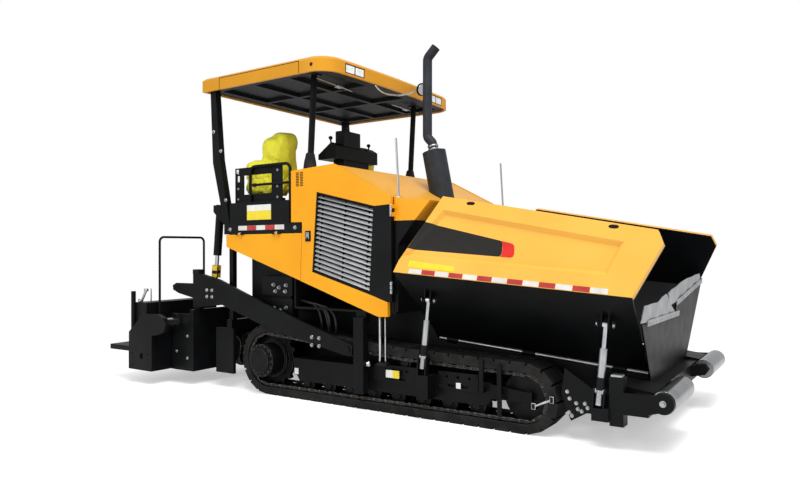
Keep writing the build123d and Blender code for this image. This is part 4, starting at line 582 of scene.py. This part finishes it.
def film(name, pale, dark, rough, cell=0.0, level=0.4):
    """Vinyl or prismatic film: even colour with faint fading, and cells where it is retro-reflective."""
    made, tree, shader = new_material(name, Metallic=0.0, IOR=1.5, Specular_IOR_Level=level)
    place, tone = mottle(tree, pale, dark, 11.0, low=0.3, high=0.7)
    grain = add_node(tree, "ShaderNodeTexVoronoi", [("Vector", place), ("Scale", cell or 300.0)])
    surface(tree, shader, tone, grain.outputs["Distance"], 0.3 if cell else 0.05, 0.001,
            rough, rough + 0.12, edge=0.001)
    return made


TAPE_CELL = 130.0  # prism cells a metre, about 8 mm each, drawn coarser than the real 3 mm so that they show
white_tape = film("white_prismatic_tape", "#E9E6E2", "#D2CECA", 0.3, TAPE_CELL)
red_tape = film("red_prismatic_tape", "#C23A34", "#A62E2B", 0.3, TAPE_CELL)
black_vinyl = film("gloss_black_vinyl_film", "#1A1512", "#120F0D", 0.25)
red_vinyl = film("signal_red_vinyl_film", "#E0261C", "#CB2018", 0.28)
plate_yellow = film("lemon_printed_aluminium_plate", "#F2DC35", "#E8CF2B", 0.35)
plate_white = film("white_printed_aluminium_plate", "#EFEFEA", "#DEDED8", 0.35)

TAPE_RUN, TAPE_LOW, TAPE_HIGH, TAPE_PIECES = (0.168, 2.026), 0.006, 0.050, 13
FILM = 0.0009  # thickness of tape and vinyl
FIELD_DEPTH = 0.034  # how far the cover's pressed field lies below its rim
for side, sign in BOTH:
    out = COVER_OUT if sign < 0 else Vector((COVER_OUT.x, -COVER_OUT.y, COVER_OUT.z))
    tape = bmesh.new()
    length = (TAPE_RUN[1] - TAPE_RUN[0]) / TAPE_PIECES
    for piece in range(TAPE_PIECES):
        near = TAPE_RUN[0] + piece * length + 0.002
        far = TAPE_RUN[0] + piece * length + length - 0.002
        prism(tape, [on_cover(*spot, 0.0, sign) for spot in (
            (near, TAPE_LOW), (far, TAPE_LOW), (far, TAPE_HIGH), (near, TAPE_HIGH))], FILM * out, tone=piece % 2)
    fitted(f"wing_tape_{side}", tape, f"wing_{side}", "lamp_white", white_tape, red_tape)

    band = bmesh.new()
    rim = ((0.100, 0.244, 0), (0.233, 0.512, 0), (0.303, 0.502, 0), (0.1195, 0.244, 0))
    slope = ((0.1195, 0.244, 0), (0.303, 0.502, 0), (0.344, 0.496, -FIELD_DEPTH), (0.161, 0.244, -FIELD_DEPTH))
    field = [(x, y, -FIELD_DEPTH) for x, y in (
        (0.161, 0.244), (0.344, 0.496), (1.010, 0.391), (1.033, 0.384), (1.045, 0.365), (1.055, 0.28),
        (1.050, 0.258), (1.032, 0.244))]
    tip = [(x, y, -FIELD_DEPTH) for x, y in (
        (1.030, 0.388), (1.120, 0.374), (1.150, 0.362), (1.163, 0.338), (1.172, 0.275), (1.164, 0.252), (1.142, 0.243),
        (1.040, 0.243), (1.056, 0.262), (1.056, 0.30), (1.046, 0.365))]
    for outline, tone in ((rim, 0), (slope, 0), (field, 0), (tip, 1)):
        prism(band, [on_cover(*spot, sign) for spot in outline], FILM * out, tone)
    fitted(f"wing_band_{side}", band, f"wing_{side}", "black_paint", black_vinyl, red_vinyl)

    plates = bmesh.new()
    prism(plates, [on_cover(x, y, 0.0, sign) for x, y in (
        (0.150, 0.066), (0.640, 0.062), (0.640, 0.112), (0.156, 0.128))], 0.0012 * out)
    fitted(f"wing_plate_{side}", plates, f"wing_{side}", "cover_yellow", plate_yellow)

    # The lifting holes are flat black plates on the cover: painted shade where the slots would look dark.
    holes = bmesh.new()
    for along, up in ((0.672, 0.712), (1.990, 0.561)):
        ring = [(along + 0.030 * math.cos(turn) + math.copysign(0.012, math.cos(turn)), up + 0.016 * math.sin(turn))
                for turn in [2 * math.pi * (i + 0.5) / 20 for i in range(20)]]
        prism(holes, [on_cover(x, y, 0.0, sign) for x, y in ring], 0.0015 * out)
    fitted(f"wing_lifting_holes_{side}", holes, f"wing_{side}", "black_paint", painted_shade_black)


# ---------------------------------------------------------------- wing wall fittings and rams
# Each ram's upper eye is held by a cross bolt in a clevis with two pale zinc-plated nuts, and a
# black powder-coated sleeve guards the foot of each barrel.
WING_HINGE, WING_SLOPE = (0.979, 0.745, 0.717), math.radians(4.736)  # its rear end, and its drop forwards
RAM_PLACES = (0.130, 1.790)  # metres along the wing's hinge line


def ram_spot(along, out, up, sign):
    """A point beside a ram: along the hinge line, out from it and up, in metres."""
    x = WING_HINGE[0] + along * math.cos(WING_SLOPE) + up * math.sin(WING_SLOPE)
    z = WING_HINGE[2] - along * math.sin(WING_SLOPE) + up * math.cos(WING_SLOPE)
    return Vector((x, sign * (WING_HINGE[1] + out), z))


def split_sleeve(mesh, start, push, outer, inner, slit, tone=0):
    """Adds a tube along a push from its start, open along a slit of that half angle on its forward side."""
    forward = push.normalized().cross(Vector((0, 1, 0)))
    turns = [math.radians(slit + (360 - 2 * slit) * i / 20) for i in range(21)]
    ring = [(outer, turn) for turn in turns] + [(inner, turn) for turn in reversed(turns)]
    prism(mesh, [start + forward * (radius * math.cos(turn)) + Vector((0, radius * math.sin(turn), 0))
                 for radius, turn in ring], push, tone)


for side, sign in BOTH:
    out = Vector((0, sign, 0))
    bolted(f"ram_eye_nuts_{side}", f"wing_{side}", [
        (ram_spot(along + shift, 0.495, 0.430, sign), Vector((math.copysign(1, shift), 0, 0)))
        for along in RAM_PLACES for shift in (-0.062, 0.062)], 0.040, 0.014)
    sleeves = bmesh.new()
    for along in RAM_PLACES:
        low, high = ram_spot(along, 0.520, -0.105, sign), ram_spot(along, 0.4953, 0.415, sign)
        way = (high - low).normalized()
        split_sleeve(sleeves, low + way * 0.012, way * 0.100, 0.0335, 0.0303, 2)
    fitted(f"ram_sleeves_{side}", sleeves, f"wing_cylinders_{side}", "black_paint", bead_black)


# ---------------------------------------------------------------- hood doors, latches and panel marks
# The doors close on paddle latches and turn on zinc-plated barrel hinges. A grid of punched slots
# ventilates the top corner, and the locker and platform edge carry blank plates and warning tape.
DOOR_FACE = PLATFORM_FACE = 1.277  # |y| of the outer faces
PLATE_EDGE = 0.0005  # rounding of thin plates, tapes and labels
HINGE_LINE, HINGE_RADIUS = 1.289, 0.0128  # |y| of the barrels' middle line, and their radius over the shell
for side, sign in BOTH:
    # The punched slots are black slabs on the door: painted shade for their dark openings.
    slots = bmesh.new()
    for x0, x1 in ((-0.482, -0.440), (-0.424, -0.382)):
        for row in range(9):
            low = 2.290 + row * 0.0172
            slab(slots, (x0, sign * (DOOR_FACE - 0.002), low), (x1, sign * (DOOR_FACE + 0.0008), low + 0.0105), 0.0006)
    fitted(f"door_vent_slots_{side}", slots, f"service_door_{side}", "black_paint", painted_shade_black)

    latch = bmesh.new()
    slab(latch, (-0.352, sign * (DOOR_FACE - 0.001), 1.700), (-0.276, sign * (DOOR_FACE + 0.006), 1.812), 0.004)
    slab(latch, (-0.340, sign * (DOOR_FACE + 0.004), 1.722), (-0.288, sign * (DOOR_FACE + 0.014), 1.800),
         0.005, tone=1)
    turned(latch, (-0.314, sign * (DOOR_FACE + 0.008), 1.733), (-0.314, sign * (DOOR_FACE + 0.02), 1.733),
           ((0, 0.013), (0.008, 0.013), (0.010, 0.010)), 20)
    fitted(f"door_latch_{side}", latch, f"service_door_{side}", "bright_steel", bead_black, zinc_plate)

    for body, runs in (("chassis", ((-0.059, -0.021), (0.021, 0.059))), (f"service_door_{side}", ((-0.018, 0.018),))):
        barrels = bmesh.new()
        for middle in (1.990, 1.240):
            for low, high in runs:
                ends = [(0.752, sign * HINGE_LINE, middle + z) for z in (low, high)]
                round_bar(barrels, *ends, HINGE_RADIUS, 20)
        fitted(f"hinge_shells_{side}_{body}", barrels, body, "bright_steel", zinc_plate)

    back, front = sign * (PLATFORM_FACE - 0.001), sign * (PLATFORM_FACE + 0.0012)
    tape = bmesh.new()
    for piece in range(5):
        start = -1.366 + piece * 0.1424
        slab(tape, (start + 0.002, back, 1.836), (start + 0.140, sign * (PLATFORM_FACE + 0.001), 1.888),
             PLATE_EDGE, tone=piece % 2)
    fitted(f"platform_tape_{side}", tape, "chassis", "lamp_white", white_tape, red_tape)

    plate = bmesh.new()
    slab(plate, (-1.224, back, 1.950), (-0.851, front, 2.052), PLATE_EDGE, tone=1)
    slab(plate, (-1.224, back, 2.0522), (-0.851, front, 2.118), PLATE_EDGE)
    fitted(f"locker_plate_{side}", plate, "chassis", "lamp_white", plate_white, plate_yellow)

    labels = bmesh.new()
    for x0, x1, z0, z1, face, back, tone in (
            (0.622, 0.700, 0.352, 0.426, 1.2005, 1.190, 0), (0.7002, 0.776, 0.352, 0.426, 1.2005, 1.190, 1),
            (-0.632, -0.576, 0.256, 0.322, 1.1465, 1.140, 0), (1.384, 1.432, 0.318, 0.372, 1.1585, 1.150, 0)):
        slab(labels, (x0, sign * face, z0), (x1, sign * back, z1), PLATE_EDGE, tone)
    fitted(f"frame_labels_{side}", labels, "chassis", "lamp_white", plate_white, plate_yellow)

hood_bolts = [((x, -DOOR_FACE, 1.852), OUT) for x in (-0.50, -1.50)]
hood_bolts += [((x, -PLATFORM_FACE, z), OUT) for x, z in ((-1.778, 3.007), (-1.655, 2.77), (-1.571, 2.193))]
bolted("post_and_platform_bolts", "chassis", mirrored(hood_bolts), 0.034, 0.014)
bolted("rail_panel_bolts", "chassis", mirrored([
    ((x, -1.197, z), OUT) for x in (-1.45, -0.83) for z in (2.20, 2.32, 2.50)]), 0.022, 0.009)


# ---------------------------------------------------------------- locker, rails and driver's place
# The guard panel has two pale rectangular reflectors of prismatic film. On the desk stand a hooded
# acrylic screen, two levers with ball knobs and a row of black switch caps.
reflectors = bmesh.new()
for _, sign in BOTH:
    slab(reflectors, (-1.475, sign * 1.1955, 2.500), (-1.440, sign * 1.1985, 2.545), 0.001)
    slab(reflectors, (-1.455, sign * 1.1955, 2.400), (-1.425, sign * 1.1985, 2.470), 0.001)
fitted("panel_reflectors", reflectors, "chassis", "lamp_white", plate_white)

desk = bmesh.new()
slab(desk, (-0.775, -0.250, 2.860), (-0.640, 0.090, 3.060), 0.012)
slab(desk, (-0.785, -0.225, 2.885), (-0.772, 0.065, 3.035), 0.004, tone=1)
for y in (-0.36, -0.31, 0.16, 0.21, 0.26, 0.31):
    round_bar(desk, (-0.79, y, 2.79), (-0.80, y, 2.84), 0.013, 12)
for y in (-0.385, 0.385):
    round_bar(desk, (-0.72, y, 2.82), (-0.735, y, 2.945), 0.010, 12)
    turned(desk, (-0.734, y, 2.935), (-0.737, y, 3.0), (
        (0, 0.010), (0.008, 0.021), (0.022, 0.026), (0.036, 0.021), (0.044, 0.009)), 20)
screen_glass = film("dark_acrylic_screen", "#26282B", "#1D1F22", 0.1, level=0.5)
fitted("desk_instruments", desk, "chassis", "black_paint", bead_black, screen_glass)


# ---------------------------------------------------------------- seat covers
# Both swivel seats are shrouded for delivery in loose covers of lemon coated nylon. They are taut
# over the top of the backrest, pouch over the cushion, and fall into creases that end at a hem.
nylon, tree, shader = new_material(
    "lemon_coated_nylon", Metallic=0.0, IOR=1.45, Specular_IOR_Level=0.35, Sheen_Weight=0.15, Sheen_Roughness=0.4)
place, tone = mottle(tree, "#FFFB46", "#E6DC2E", 5.0, low=0.3, high=0.7, detail=6.0)
weave = [add_node(tree, "ShaderNodeTexWave", [("Vector", place), ("Scale", 90.0)], bands_direction=way).outputs["Fac"]
         for way in ("X", "Z")]
ribs = worked(tree, "MAXIMUM", *weave)
surface(tree, shader, tone, ribs, 0.12, 0.001, 0.42, 0.55)

SEAT_PAN = 2.231  # height of the pan that the covers end on
CLOTH_FRAMES, CLOTH_REACH = 20, 0.02  # frames simulated, and how far the cloth may move from its form
SEAT_LUMPS = (  # centre (x, |y|, z) and half sizes of what fills the cover
    ((-1.30, 0.86, 2.35), (0.235, 0.235, 0.105)), ((-1.335, 0.895, 2.53), (0.205, 0.195, 0.155)),
    ((-1.15, 0.76, 2.64), (0.145, 0.155, 0.33)), ((-1.125, 0.765, 2.875), (0.125, 0.155, 0.135)),
    ((-1.20, 0.84, 2.76), (0.15, 0.155, 0.20)))


def seat_cover(side, sign):
    """One loose cover: lumps skinned into one skin, inflated as cloth, then creased."""
    lumps = bmesh.new()
    for (x, y, z), (rx, ry, rz) in SEAT_LUMPS:
        made = bmesh.ops.create_icosphere(lumps, subdivisions=3, radius=1.0)["verts"]
        for vert in made:
            bulged = [math.copysign(abs(part) ** 0.62, part) for part in vert.co]
            vert.co = (x + bulged[0] * rx, sign * y + bulged[1] * ry, max(SEAT_PAN + 0.005, z + bulged[2] * rz))
    data = bpy.data.meshes.new(f"seat_cover_{side}")
    lumps.to_mesh(data)
    lumps.free()
    cover = placed(f"seat_cover_{side}", data)
    skin = cover.modifiers.new("skin", "REMESH")
    skin.mode, skin.voxel_size = "VOXEL", 0.016
    merged = evaluated(cover)
    cover.modifiers.remove(skin)
    cover.data = merged
    rest = [vert.co.copy() for vert in merged.vertices]
    cloth = cover.modifiers.new("cloth", "CLOTH")
    cloth.settings.quality, cloth.settings.mass, cloth.settings.use_pressure = 5, 0.2, True
    cloth.settings.uniform_pressure_force = 4.0
    cloth.settings.bending_stiffness, cloth.settings.tension_stiffness = 0.3, 12.0
    cloth.settings.effector_weights.gravity = 0.0
    held = cover.vertex_groups.new(name="held")
    held.add([i for i, co in enumerate(rest) if co.z < 2.27], 1.0, "REPLACE")
    cloth.settings.vertex_group_mass = "held"
    for moment in range(1, CLOTH_FRAMES + 1):
        bpy.context.scene.frame_set(moment)
    blown = evaluated(cover)
    moved = [vert.co.copy() for vert in blown.vertices]
    bpy.data.meshes.remove(blown)
    cover.modifiers.remove(cloth)
    cover.vertex_groups.clear()
    bpy.context.scene.frame_set(1)
    for vert, was, now in zip(merged.vertices, rest, moved):
        step = now - was
        vert.co = was + (step if step.length < CLOTH_REACH else step.normalized() * CLOTH_REACH)
    merged.update()
    shape = bmesh.new()
    shape.from_mesh(merged)
    bmesh.ops.subdivide_edges(shape, edges=shape.edges, cuts=1, use_grid_fill=True)
    bmesh.ops.smooth_vert(
        shape, verts=shape.verts, factor=0.5, use_axis_x=True, use_axis_y=True, use_axis_z=True)
    shape.normal_update()
    for vert in shape.verts:
        spot = vert.co
        slack = max(0.25, min(1.0, (2.95 - spot.z) / 0.45))
        crease = noise.ridged_multi_fractal(
            Vector((spot.x * 6.0, spot.y * 6.0, spot.z * 3.5 + sign)), 0.9, 2.1, 4, 0.9, 2.0)
        fold = noise.noise(Vector((spot.x * 17.0 + 3 * sign, spot.y * 17.0, spot.z * 6.0)))
        vert.co = spot + vert.normal * ((0.030 * (crease - 1.1) + 0.016 * fold) * slack)
        vert.co.z = max(SEAT_PAN, vert.co.z)
    for face in shape.faces:
        face.smooth = True
    cover.data = bpy.data.meshes.new(f"seat_cover_{side}")
    bmesh.ops.recalc_face_normals(shape, faces=shape.faces)
    shape.to_mesh(cover.data)
    shape.free()
    cover.data.materials.append(nylon)
    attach(cover, "chassis")
    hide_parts(f"seat_{side}")


for side, sign in BOTH:
    seat_cover(side, sign)


# ---------------------------------------------------------------- final drives and track frames
# The drive's end cover is held by a ring of bolts, and the frame's holed plates and corner columns
# are bolted on. A chromed cap and two tie rods in black blocks stand beside each column.
DRIVE_X, DRIVE_Z, DRIVE_FACE = -1.000, 0.390, 1.290  # the drive's middle, and |y| of its end cover
drive_bolts = [((DRIVE_X + radius * math.cos(turn), -DRIVE_FACE, DRIVE_Z + radius * math.sin(turn)), OUT)
               for radius, count, shift in ((0.150, 20, 0), (0.060, 3, 0.5))
               for turn in [2 * math.pi * (i + shift) / count for i in range(count)]]
bolted("drive_cover_bolts", "chassis", mirrored(drive_bolts), 0.020, 0.009, black_bolts)
frame_bolts = [((x, -1.157, z), OUT) for x in (0.475, 0.960, 1.215, 1.590) for z in (0.325, 0.440)]
frame_bolts += [((x, -1.277, z), OUT) for x in (0.305, 0.375) for z in (0.225, 0.500, 0.875)]
bolted("frame_bolts", "chassis", mirrored(frame_bolts), 0.024, 0.010, black_bolts)
for side, sign in BOTH:
    fittings = bmesh.new()
    for x, low, high, radius in ((0.580, 0.497, 0.958, 0.0135), (0.643, 0.497, 0.965, 0.0075)):
        round_bar(fittings, (x, sign * 1.235, low), (x, sign * 1.235, high), radius)
    turned(fittings, (0.413, sign * 1.195, 0.466), (0.413, sign * 1.4, 0.466),
           ((0, 0.034), (0.018, 0.034), (0.022, 0.030), (0.030, 0.030), (0.034, 0.018), (0.050, 0.018),
            (0.052, 0.012)), 24)
    fitted(f"tie_rods_{side}", fittings, "chassis", "bright_steel", hard_chrome)
    seats = bmesh.new()
    slab(seats, (0.555, sign * 1.196, 0.470), (0.668, sign * 1.262, 0.498), 0.005)
    slab(seats, (0.556, sign * 1.213, 0.956), (0.668, sign * 1.257, 0.975), 0.004)
    fitted(f"tie_rod_blocks_{side}", seats, "chassis", "black_paint", bead_black)


# ---------------------------------------------------------------- tow arms and screed
# Each tow arm is bolted up with four pale bolts at either end, and the screed's side plate with
# three. A zinc-plated strut and spindle for levelling stand on each extension's outer end.
ARM_FACE, STRUT_LINE = 1.275, 1.500  # |y| of the arms' outer face, and of the levelling strut
arm_bolts = [((x, -ARM_FACE, z), OUT) for x in (-1.904, -1.814) for z in (1.065, 1.142)]
arm_bolts += [((x, -ARM_FACE, z), OUT) for x, z in (
    (-0.271, 0.695), (-0.173, 0.690), (-0.271, 0.612), (-0.173, 0.608))]
bolted("tow_arm_bolts", "screed", mirrored(arm_bolts), 0.032, 0.013)
for side, sign in BOTH:
    gauge = bmesh.new()
    for x0, x1, y, z0, z1, radius in (
            (-2.740, -2.850, STRUT_LINE, 1.130, 0.960, 0.015), (-2.700, -2.700, 1.460, 1.150, 0.985, 0.008)):
        round_bar(gauge, (x0, sign * y, z0), (x1, sign * y, z1), radius)
    for x, low, high, wide in ((-2.740, 1.115, 1.150, 0.028), (-2.850, 0.984, 1.02, 0.030)):
        foot = wide - 0.004
        turned(gauge, (x, sign * STRUT_LINE, low), (x, sign * STRUT_LINE, high), (
            (0, foot), (0.006, wide), (0.028, wide), (0.034, wide - 0.006)), 20)
    fitted(f"levelling_strut_{side}", gauge, f"extension_{side}", "bright_steel", zinc_plate)
bolted("screed_side_bolts", "screed", mirrored([
    ((x, -1.330, z), OUT) for x, z in ((-2.387, 0.392), (-2.188, 0.585), (-2.189, 0.322))]), 0.030, 0.010)


# ---------------------------------------------------------------- screed lift cylinders
# A two-colour safety lock rides on each lift rod and props the screed for transport. It is a moulded
# open channel, yellow with a black middle band, wider than the barrel that it lies against.
lock_yellow = film("yellow_moulded_nylon", "#F2CB2E", "#E3BB22", 0.38)
for side, sign in BOTH:
    lock = bmesh.new()
    top, foot = Vector((-1.840, sign * 1.120, 2.110)), Vector((-1.930, sign * 1.120, 1.190))
    way = (foot - top).normalized()
    for start, stop, outer, tone in (
            (0.680, 0.742, 0.0535, 0), (0.7425, 0.780, 0.0525, 1), (0.7805, 0.832, 0.0535, 0)):
        split_sleeve(lock, top + way * start, way * (stop - start), outer, 0.0495, 35, tone)
    fitted(f"transport_lock_{side}", lock, "lift_rods", "cover_yellow", lock_yellow, bead_black)


# ---------------------------------------------------------------- hydraulic valves and pipes
# Two valve banks hang on each side in front of the tanks, each with zinc-plated adjusters in lock
# nuts. Black chromated steel pipes are bent from them forward and down to the drives.
valve_places = [((x, -1.150, z), OUT) for x, z in (
    (-0.934, 1.224), (-0.853, 1.194), (-0.745, 1.222), (-0.907, 1.152), (-0.759, 1.153),
    (-0.930, 0.964), (-0.840, 0.942), (-0.746, 0.972), (-0.895, 0.900), (-0.768, 0.896))]
bolted("valve_adjusters", "chassis", mirrored(valve_places), 0.034, 0.026)
pipe_grey = film("black_chromated_steel_tube", "#2A2C2E", "#1C1D1F", 0.3)
for side, sign in BOTH:
    for i, (x, z, run) in enumerate((
            (-0.30, 1.06, 0.05), (-0.24, 1.05, 0.10), (-0.18, 1.04, 0.02), (-0.12, 1.03, 0.07))):
        bent_pipe(f"drive_pipe_{side}_{i}", [
            (x - 0.36, sign * 1.10, z + 0.02), (x - 0.2, sign * (1.13 + run / 4), z),
            (x - 0.05 + run, sign * 1.15, z - 0.07), (x + run, sign * 1.14, z - 0.22),
            (x + 0.01, sign * 1.09, z - 0.36)], 0.012, pipe_grey, "black_paint")


# ---------------------------------------------------------------- push beam and track scrapers
# The beam's roller ends and the scraper plates are bolted. A galvanised lifting block is welded on
# top of each box, and a bright adjusting rod runs between the two blocks of the scraper's yoke.
scraper_bolts = [((x, -1.170, z), OUT) for x, z in (
    (2.465, 0.239), (2.527, 0.322), (2.540, 0.275), (2.600, 0.327), (2.489, 0.213), (2.572, 0.260), (2.622, 0.294),
    (2.450, 0.410), (2.470, 0.355))]
bolted("scraper_bolts", "chassis", mirrored(scraper_bolts), 0.026, 0.010)
bolted("roller_end_bolts", "chassis", mirrored([((3.235, -1.272, 0.419), OUT)]), 0.040, 0.016)
for side, sign in BOTH:
    blocks = bmesh.new()
    slab(blocks, (2.840, sign * 1.190, 0.585), (2.930, sign * 1.265, 0.606), 0.005)
    fitted(f"lifting_block_{side}", blocks, "chassis", "bright_steel", galvanised)
    yoke = bmesh.new()
    round_bar(yoke, (2.176, sign * 1.212, 0.263), (2.330, sign * 1.212, 0.335), 0.012)
    slab(yoke, (2.150, sign * 1.150, 0.235), (2.190, sign * 1.225, 0.290), 0.005, tone=1)
    slab(yoke, (2.315, sign * 1.150, 0.305), (2.352, sign * 1.225, 0.365), 0.005, tone=1)
    fitted(f"scraper_yoke_{side}", yoke, "chassis", "bright_steel", hard_chrome, bead_black)


# ---------------------------------------------------------------- track chain
# Forged links and their pins join the shoes edge to edge, inside the loop of pads. They are
# hardened steel, black with old grease and rubbed bright on the corners.
def forged_link(tree):
    """A flat link with a pin's end standing out at either end, one unit long."""
    shapes = [add_node(tree, "GeometryNodeMeshCube", [("Size", (0.62, 0.16, 0.36))]).outputs["Mesh"]]
    for along in (-0.36, 0.36):
        pin = add_node(tree, "GeometryNodeMeshCone", [
            ("Vertices", 8), ("Radius Top", 0.15), ("Radius Bottom", 0.17), ("Depth", 0.3)])
        shapes.append(add_node(tree, "GeometryNodeTransform", [
            ("Geometry", pin.outputs["Mesh"]), ("Translation", (along, 0.15, 0.02)),
            ("Rotation", (math.pi / 2, 0, 0))]).outputs["Geometry"])
    return shapes


SPROCKET, IDLER, TOP_REST = (-1.000, 0.390, 0.390), (2.066, 0.310, 0.310), (0.800, 0.650)  # x, z, pad radius
LINK_INSET, LINK_LENGTH, SHOE_COUNT = 0.108, 0.138, 54


def chain_places(across):
    """Link centres and directions round the loop, at a distance from the middle of the machine."""
    front, rear = IDLER, SPROCKET
    start = -math.pi / 2
    stop = math.atan2(TOP_REST[1] - front[1], TOP_REST[0] - front[0]) - math.acos(
        front[2] / math.hypot(TOP_REST[0] - front[0], TOP_REST[1] - front[1]))
    back = math.atan2(TOP_REST[1] - rear[1], TOP_REST[0] - rear[0]) + math.acos(
        rear[2] / math.hypot(TOP_REST[0] - rear[0], TOP_REST[1] - rear[1]))
    route = [(rear[0], LINK_INSET), (front[0], LINK_INSET)]
    for wheel, low, high in ((front, start, stop), (rear, back, 1.5 * math.pi)):
        route += [(wheel[0] + (wheel[2] - LINK_INSET) * math.cos(low + (high - low) * i / 24),
                   wheel[1] + (wheel[2] - LINK_INSET) * math.sin(low + (high - low) * i / 24)) for i in range(25)]
        if wheel is front:
            route.append((TOP_REST[0], TOP_REST[1] - LINK_INSET))
    lengths = [math.dist(a, b) for a, b in zip(route, route[1:])]
    pitch, places, done, leg = sum(lengths) / SHOE_COUNT, [], 0.0, 0
    for link in range(SHOE_COUNT):
        wanted = (link + 0.5) * pitch
        while done + lengths[leg] < wanted:
            done += lengths[leg]
            leg += 1
        (x0, z0), (x1, z1) = route[leg], route[leg + 1]
        share = (wanted - done) / lengths[leg]
        places.append(((x0 + (x1 - x0) * share, across, z0 + (z1 - z0) * share), ((x1 - x0), 0.0, (z1 - z0))))
    return places


bolted("track_chain_links", "chassis", [
    place for across in (-1.166, -0.894, 0.894, 1.166) for place in chain_places(across)],
    LINK_LENGTH, 0.085, stand_tree("track_links", "X", rubbed_cast, forged_link))


# ---------------------------------------------------------------- post boots, exhaust clamp and panel hinges
# A moulded rubber boot seals each front post where it goes into the hood, and two zinc-plated bands
# clamp the tail pipe on the silencer. The lower panels turn on zinc-plated hinge shells.
boots = bmesh.new()
for _, sign in BOTH:
    turned(boots, (-0.508, sign * 1.020, 2.476), (-0.495, sign * 1.020, 3.0), (
        (0, 0.084), (0.015, 0.086), (0.025, 0.075), (0.10, 0.068), (0.16, 0.055), (0.195, 0.048), (0.205, 0.038)), 28)
fitted("post_boots", boots, "chassis", "black_paint", pad_rubber)
clamp = bmesh.new()
joint, lean = Vector((0.479, 0.0, 2.729)), Vector((-0.196, 0.0, 0.980))  # the pipe's foot and its way
for start in (0.012, 0.052):
    turned(clamp, joint + lean * start, joint + lean, (
        (0, 0.056), (0.004, 0.063), (0.024, 0.063), (0.028, 0.056)), 32)
fitted("exhaust_clamp", clamp, "chassis", "bright_steel", zinc_plate)
for side, sign in BOTH:
    shells = bmesh.new()
    for x in (-1.330, -0.760):
        ends = [(x + along, sign * HINGE_LINE, 1.802) for along in (-0.0185, 0.0185)]
        round_bar(shells, *ends, HINGE_RADIUS, 20)
    fitted(f"panel_hinge_shells_{side}", shells, f"rear_panel_{side}", "bright_steel", zinc_plate)


# ---------------------------------------------------------------- floor, light and camera
# A pale studio floor under a white sky, one large soft lamp from the front right and a weaker fill.
# What the camera and glass see as sky is plain white, while the light on the machine stays even.
FLOOR_HALF = 60.0
SHADOW_REACH, WHITE_REACH = 3.6, 7.0  # the floor goes from lit to plain white between these distances
floor_mesh = bpy.data.meshes.new("floor")
floor_mesh.from_pydata([(x * FLOOR_HALF, y * FLOOR_HALF, 0) for x, y in ((-1, -1), (1, -1), (1, 1), (-1, 1))],
                       [], [(0, 1, 2, 3)])
floor = placed("floor", floor_mesh)
floor_paint, tree, shader = new_material("pale_studio_floor", Roughness=0.9, Specular_IOR_Level=0.1)
_, tone = mottle(tree, "#FDFDFD", "#FBFBFB", 0.4)
tree.links.new(tone, shader.inputs["Base Color"])


def seen_plainly(tree):
    """One for rays from the camera and through glass, which have to find plain white."""
    rays = add_node(tree, "ShaderNodeLightPath").outputs
    return worked(tree, "MAXIMUM", rays["Is Camera Ray"], rays["Is Transmission Ray"])


# Near the machine the floor also glows faintly for the camera. This is painted light that lightens the machine's cast
# shadow there.
shadow_lifting_glow, white = [add_node(tree, "ShaderNodeEmission", [("Color", (1, 1, 1, 1)), ("Strength", strength)])
               for strength in (0.42, 1.0)]
lit = add_node(tree, "ShaderNodeAddShader", [(0, shader.outputs[0]), (1, shadow_lifting_glow.outputs[0])])
place = add_node(tree, "ShaderNodeTexCoord").outputs["Object"]
reach = add_node(tree, "ShaderNodeVectorMath", [(0, place)], operation="LENGTH").outputs["Value"]
away = add_node(tree, "ShaderNodeMapRange", [
    ("Value", reach), ("From Min", SHADOW_REACH), ("From Max", WHITE_REACH)], interpolation_type="SMOOTHSTEP")
faded = add_node(tree, "ShaderNodeMixShader", [
    (0, away.outputs["Result"]), (1, lit.outputs[0]), (2, white.outputs[0])])
seen = add_node(tree, "ShaderNodeMixShader", [
    (0, seen_plainly(tree)), (1, shader.outputs[0]), (2, faded.outputs[0])])
tree.links.new(seen.outputs[0], tree.nodes["Material Output"].inputs["Surface"])
floor.data.materials.append(floor_paint)

world = bpy.context.scene.world = bpy.data.worlds.new("white_studio")
world.use_nodes = True
sky = world.node_tree
sky.nodes.clear()
glow, plain = [add_node(sky, "ShaderNodeBackground", [("Color", (1, 1, 1, 1)), ("Strength", strength)])
               for strength in (0.6, 1.0)]
chosen = add_node(sky, "ShaderNodeMixShader", [
    (0, seen_plainly(sky)), (1, glow.outputs[0]), (2, plain.outputs[0])])
add_node(sky, "ShaderNodeOutputWorld", [("Surface", chosen.outputs[0])])


def lamp(name, place, target, size, power):
    """A soft square lamp aimed at a point."""
    light = bpy.data.lights.new(name, "AREA")
    light.size, light.energy = size, power
    made = placed(name, light)
    made.location = place
    made.rotation_euler = (Vector(target) - Vector(place)).to_track_quat("-Z", "Y").to_euler()


LAMP_SIDE = 6.0  # metres
lamp("key_lamp", (4.5, -5.0, 11.5), (0, 0, 1.2), LAMP_SIDE, 1000.0)
lamp("fill_lamp", (-4.0, -12.0, 4.0), (-0.5, 0, 1.5), LAMP_SIDE, 170.0)

CAMERA_PLACE = (4.409, -6.638, 1.609)
HEADING, RISE, ROLL = 33.58, 0.81, -0.35  # degrees: turn from +Y, tilt above level, lean
camera_data = bpy.data.cameras.new("camera")
camera_data.sensor_width, camera_data.lens = 36.0, 30.2
camera = placed("camera", camera_data)
camera.matrix_world = (
    Matrix.Translation(CAMERA_PLACE)
    @ Matrix.Rotation(math.radians(HEADING), 4, "Z")
    @ Matrix.Rotation(math.radians(90 + RISE), 4, "X")
    @ Matrix.Rotation(math.radians(ROLL), 4, "Z"))
bpy.context.scene.camera = camera
bpy.context.scene.view_settings.view_transform = "Standard"
